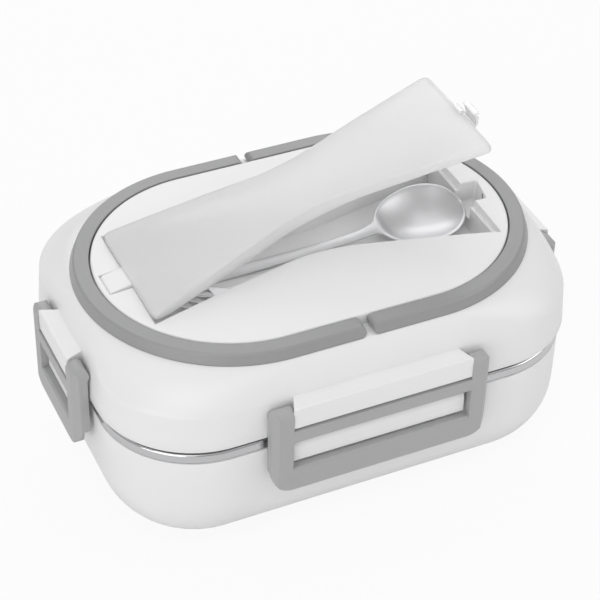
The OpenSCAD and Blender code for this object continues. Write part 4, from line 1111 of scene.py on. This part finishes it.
def make_floor():
    """Plain pale floor: white to the camera, with the object's own soft shadow."""
    bpy.ops.mesh.primitive_plane_add(size=FLOOR_METRES, location=(0, 0, 0))
    floor = bpy.context.object
    floor.name = "floor"
    tree, bsdf = new_material("floor_white")
    bsdf.inputs["Roughness"].default_value = FLOOR_ROUGH
    drift = noise(tree, scale=3, detail=2)
    tree.links.new(tint(tree, drift, grey(FLOOR_DARK), grey(FLOOR_LIGHT)), bsdf.inputs["Base Color"])
    rays = add_node(tree, "LightPath").outputs
    either = {0: rays["Is Camera Ray"], 1: rays["Is Transmission Ray"]}
    seen = add_node(tree, "Math", either, operation="ADD", use_clamp=True)
    share = add_node(tree, "Math", {0: seen.outputs[0], 1: FLOOR_GLOW}, operation="MULTIPLY")
    glow = add_node(tree, "Emission")
    mix = add_node(tree, "MixShader", {"Fac": share.outputs[0], 1: bsdf.outputs[0], 2: glow.outputs[0]})
    tree.links.new(mix.outputs[0], tree.nodes["Material Output"].inputs["Surface"])
    floor.data.materials.append(LOOKS["floor_white"])


def make_world():
    """White to the camera, softer for the light, with a darker horizon for the steel to mirror."""
    world = bpy.data.worlds.new("studio")
    bpy.context.scene.world = world
    world.use_nodes = True
    tree = world.node_tree
    back = tree.nodes["Background"]
    back.inputs["Color"].default_value = (1, 1, 1, 1)
    back.inputs["Strength"].default_value = 1.0
    height = add_node(tree, "SeparateXYZ", {"Vector": add_node(tree, "TexCoord").outputs["Generated"]})
    stops = [(0.0, grey(WORLD_LOW)), (WORLD_HIGH_AT, grey(WORLD_HIGH))]
    colour = ramp(tree, height.outputs["Z"], stops)
    light = add_node(tree, "Background", {"Color": colour, "Strength": WORLD_STRENGTH})
    to_camera = add_node(tree, "LightPath").outputs["Is Camera Ray"]
    mix = add_node(tree, "MixShader", {"Fac": to_camera, 1: light.outputs[0], 2: back.outputs[0]})
    tree.links.new(mix.outputs[0], tree.nodes["World Output"].inputs["Surface"])


def make_lamp(name, position, size, power):
    """Soft box aimed at the middle of the object."""
    data = bpy.data.lights.new(name, "AREA")
    data.shape = "RECTANGLE"
    data.size, data.size_y = size
    data.energy = power
    lamp = bpy.data.objects.new(name, data)
    lamp.location = position
    lamp.rotation_euler = (Vector(AIM) - lamp.location).to_track_quat("-Z", "Y").to_euler()
    bpy.context.scene.collection.objects.link(lamp)


def make_camera():
    """Camera fitted to the photograph."""
    azimuth, elevation, roll = (math.radians(v) for v in (CAMERA_AZIMUTH, CAMERA_ELEVATION, CAMERA_ROLL))
    across, depth = math.cos(elevation) * math.sin(azimuth), math.cos(elevation) * math.cos(azimuth)
    back = Vector((across, -depth, math.sin(elevation)))
    right = Vector((math.cos(azimuth), math.sin(azimuth), 0))
    up = back.cross(right)
    camera_right = right * math.cos(roll) - up * math.sin(roll)
    camera_up = right * math.sin(roll) + up * math.cos(roll)
    data = bpy.data.cameras.new("camera")
    data.sensor_width = CAMERA_SENSOR
    data.lens = FOCAL_PIXELS / PHOTO_PIXELS * CAMERA_SENSOR
    data.clip_end = CAMERA_REACH
    camera = bpy.data.objects.new("camera", data)
    matrix = Matrix((camera_right, camera_up, back)).transposed().to_4x4()
    matrix.translation = Vector(CAMERA_PLACE)
    camera.matrix_world = matrix
    bpy.context.scene.collection.objects.link(camera)
    bpy.context.scene.camera = camera


make_camera()
make_world()
make_floor()
for lamp in LAMPS:
    make_lamp(*lamp)
bpy.context.scene.view_settings.view_transform = "Standard"

dress_cad_nodes()
make_base()
make_liner()
make_container()
make_lid()
make_top_panel()
make_cover()
make_spoon()
make_fork()
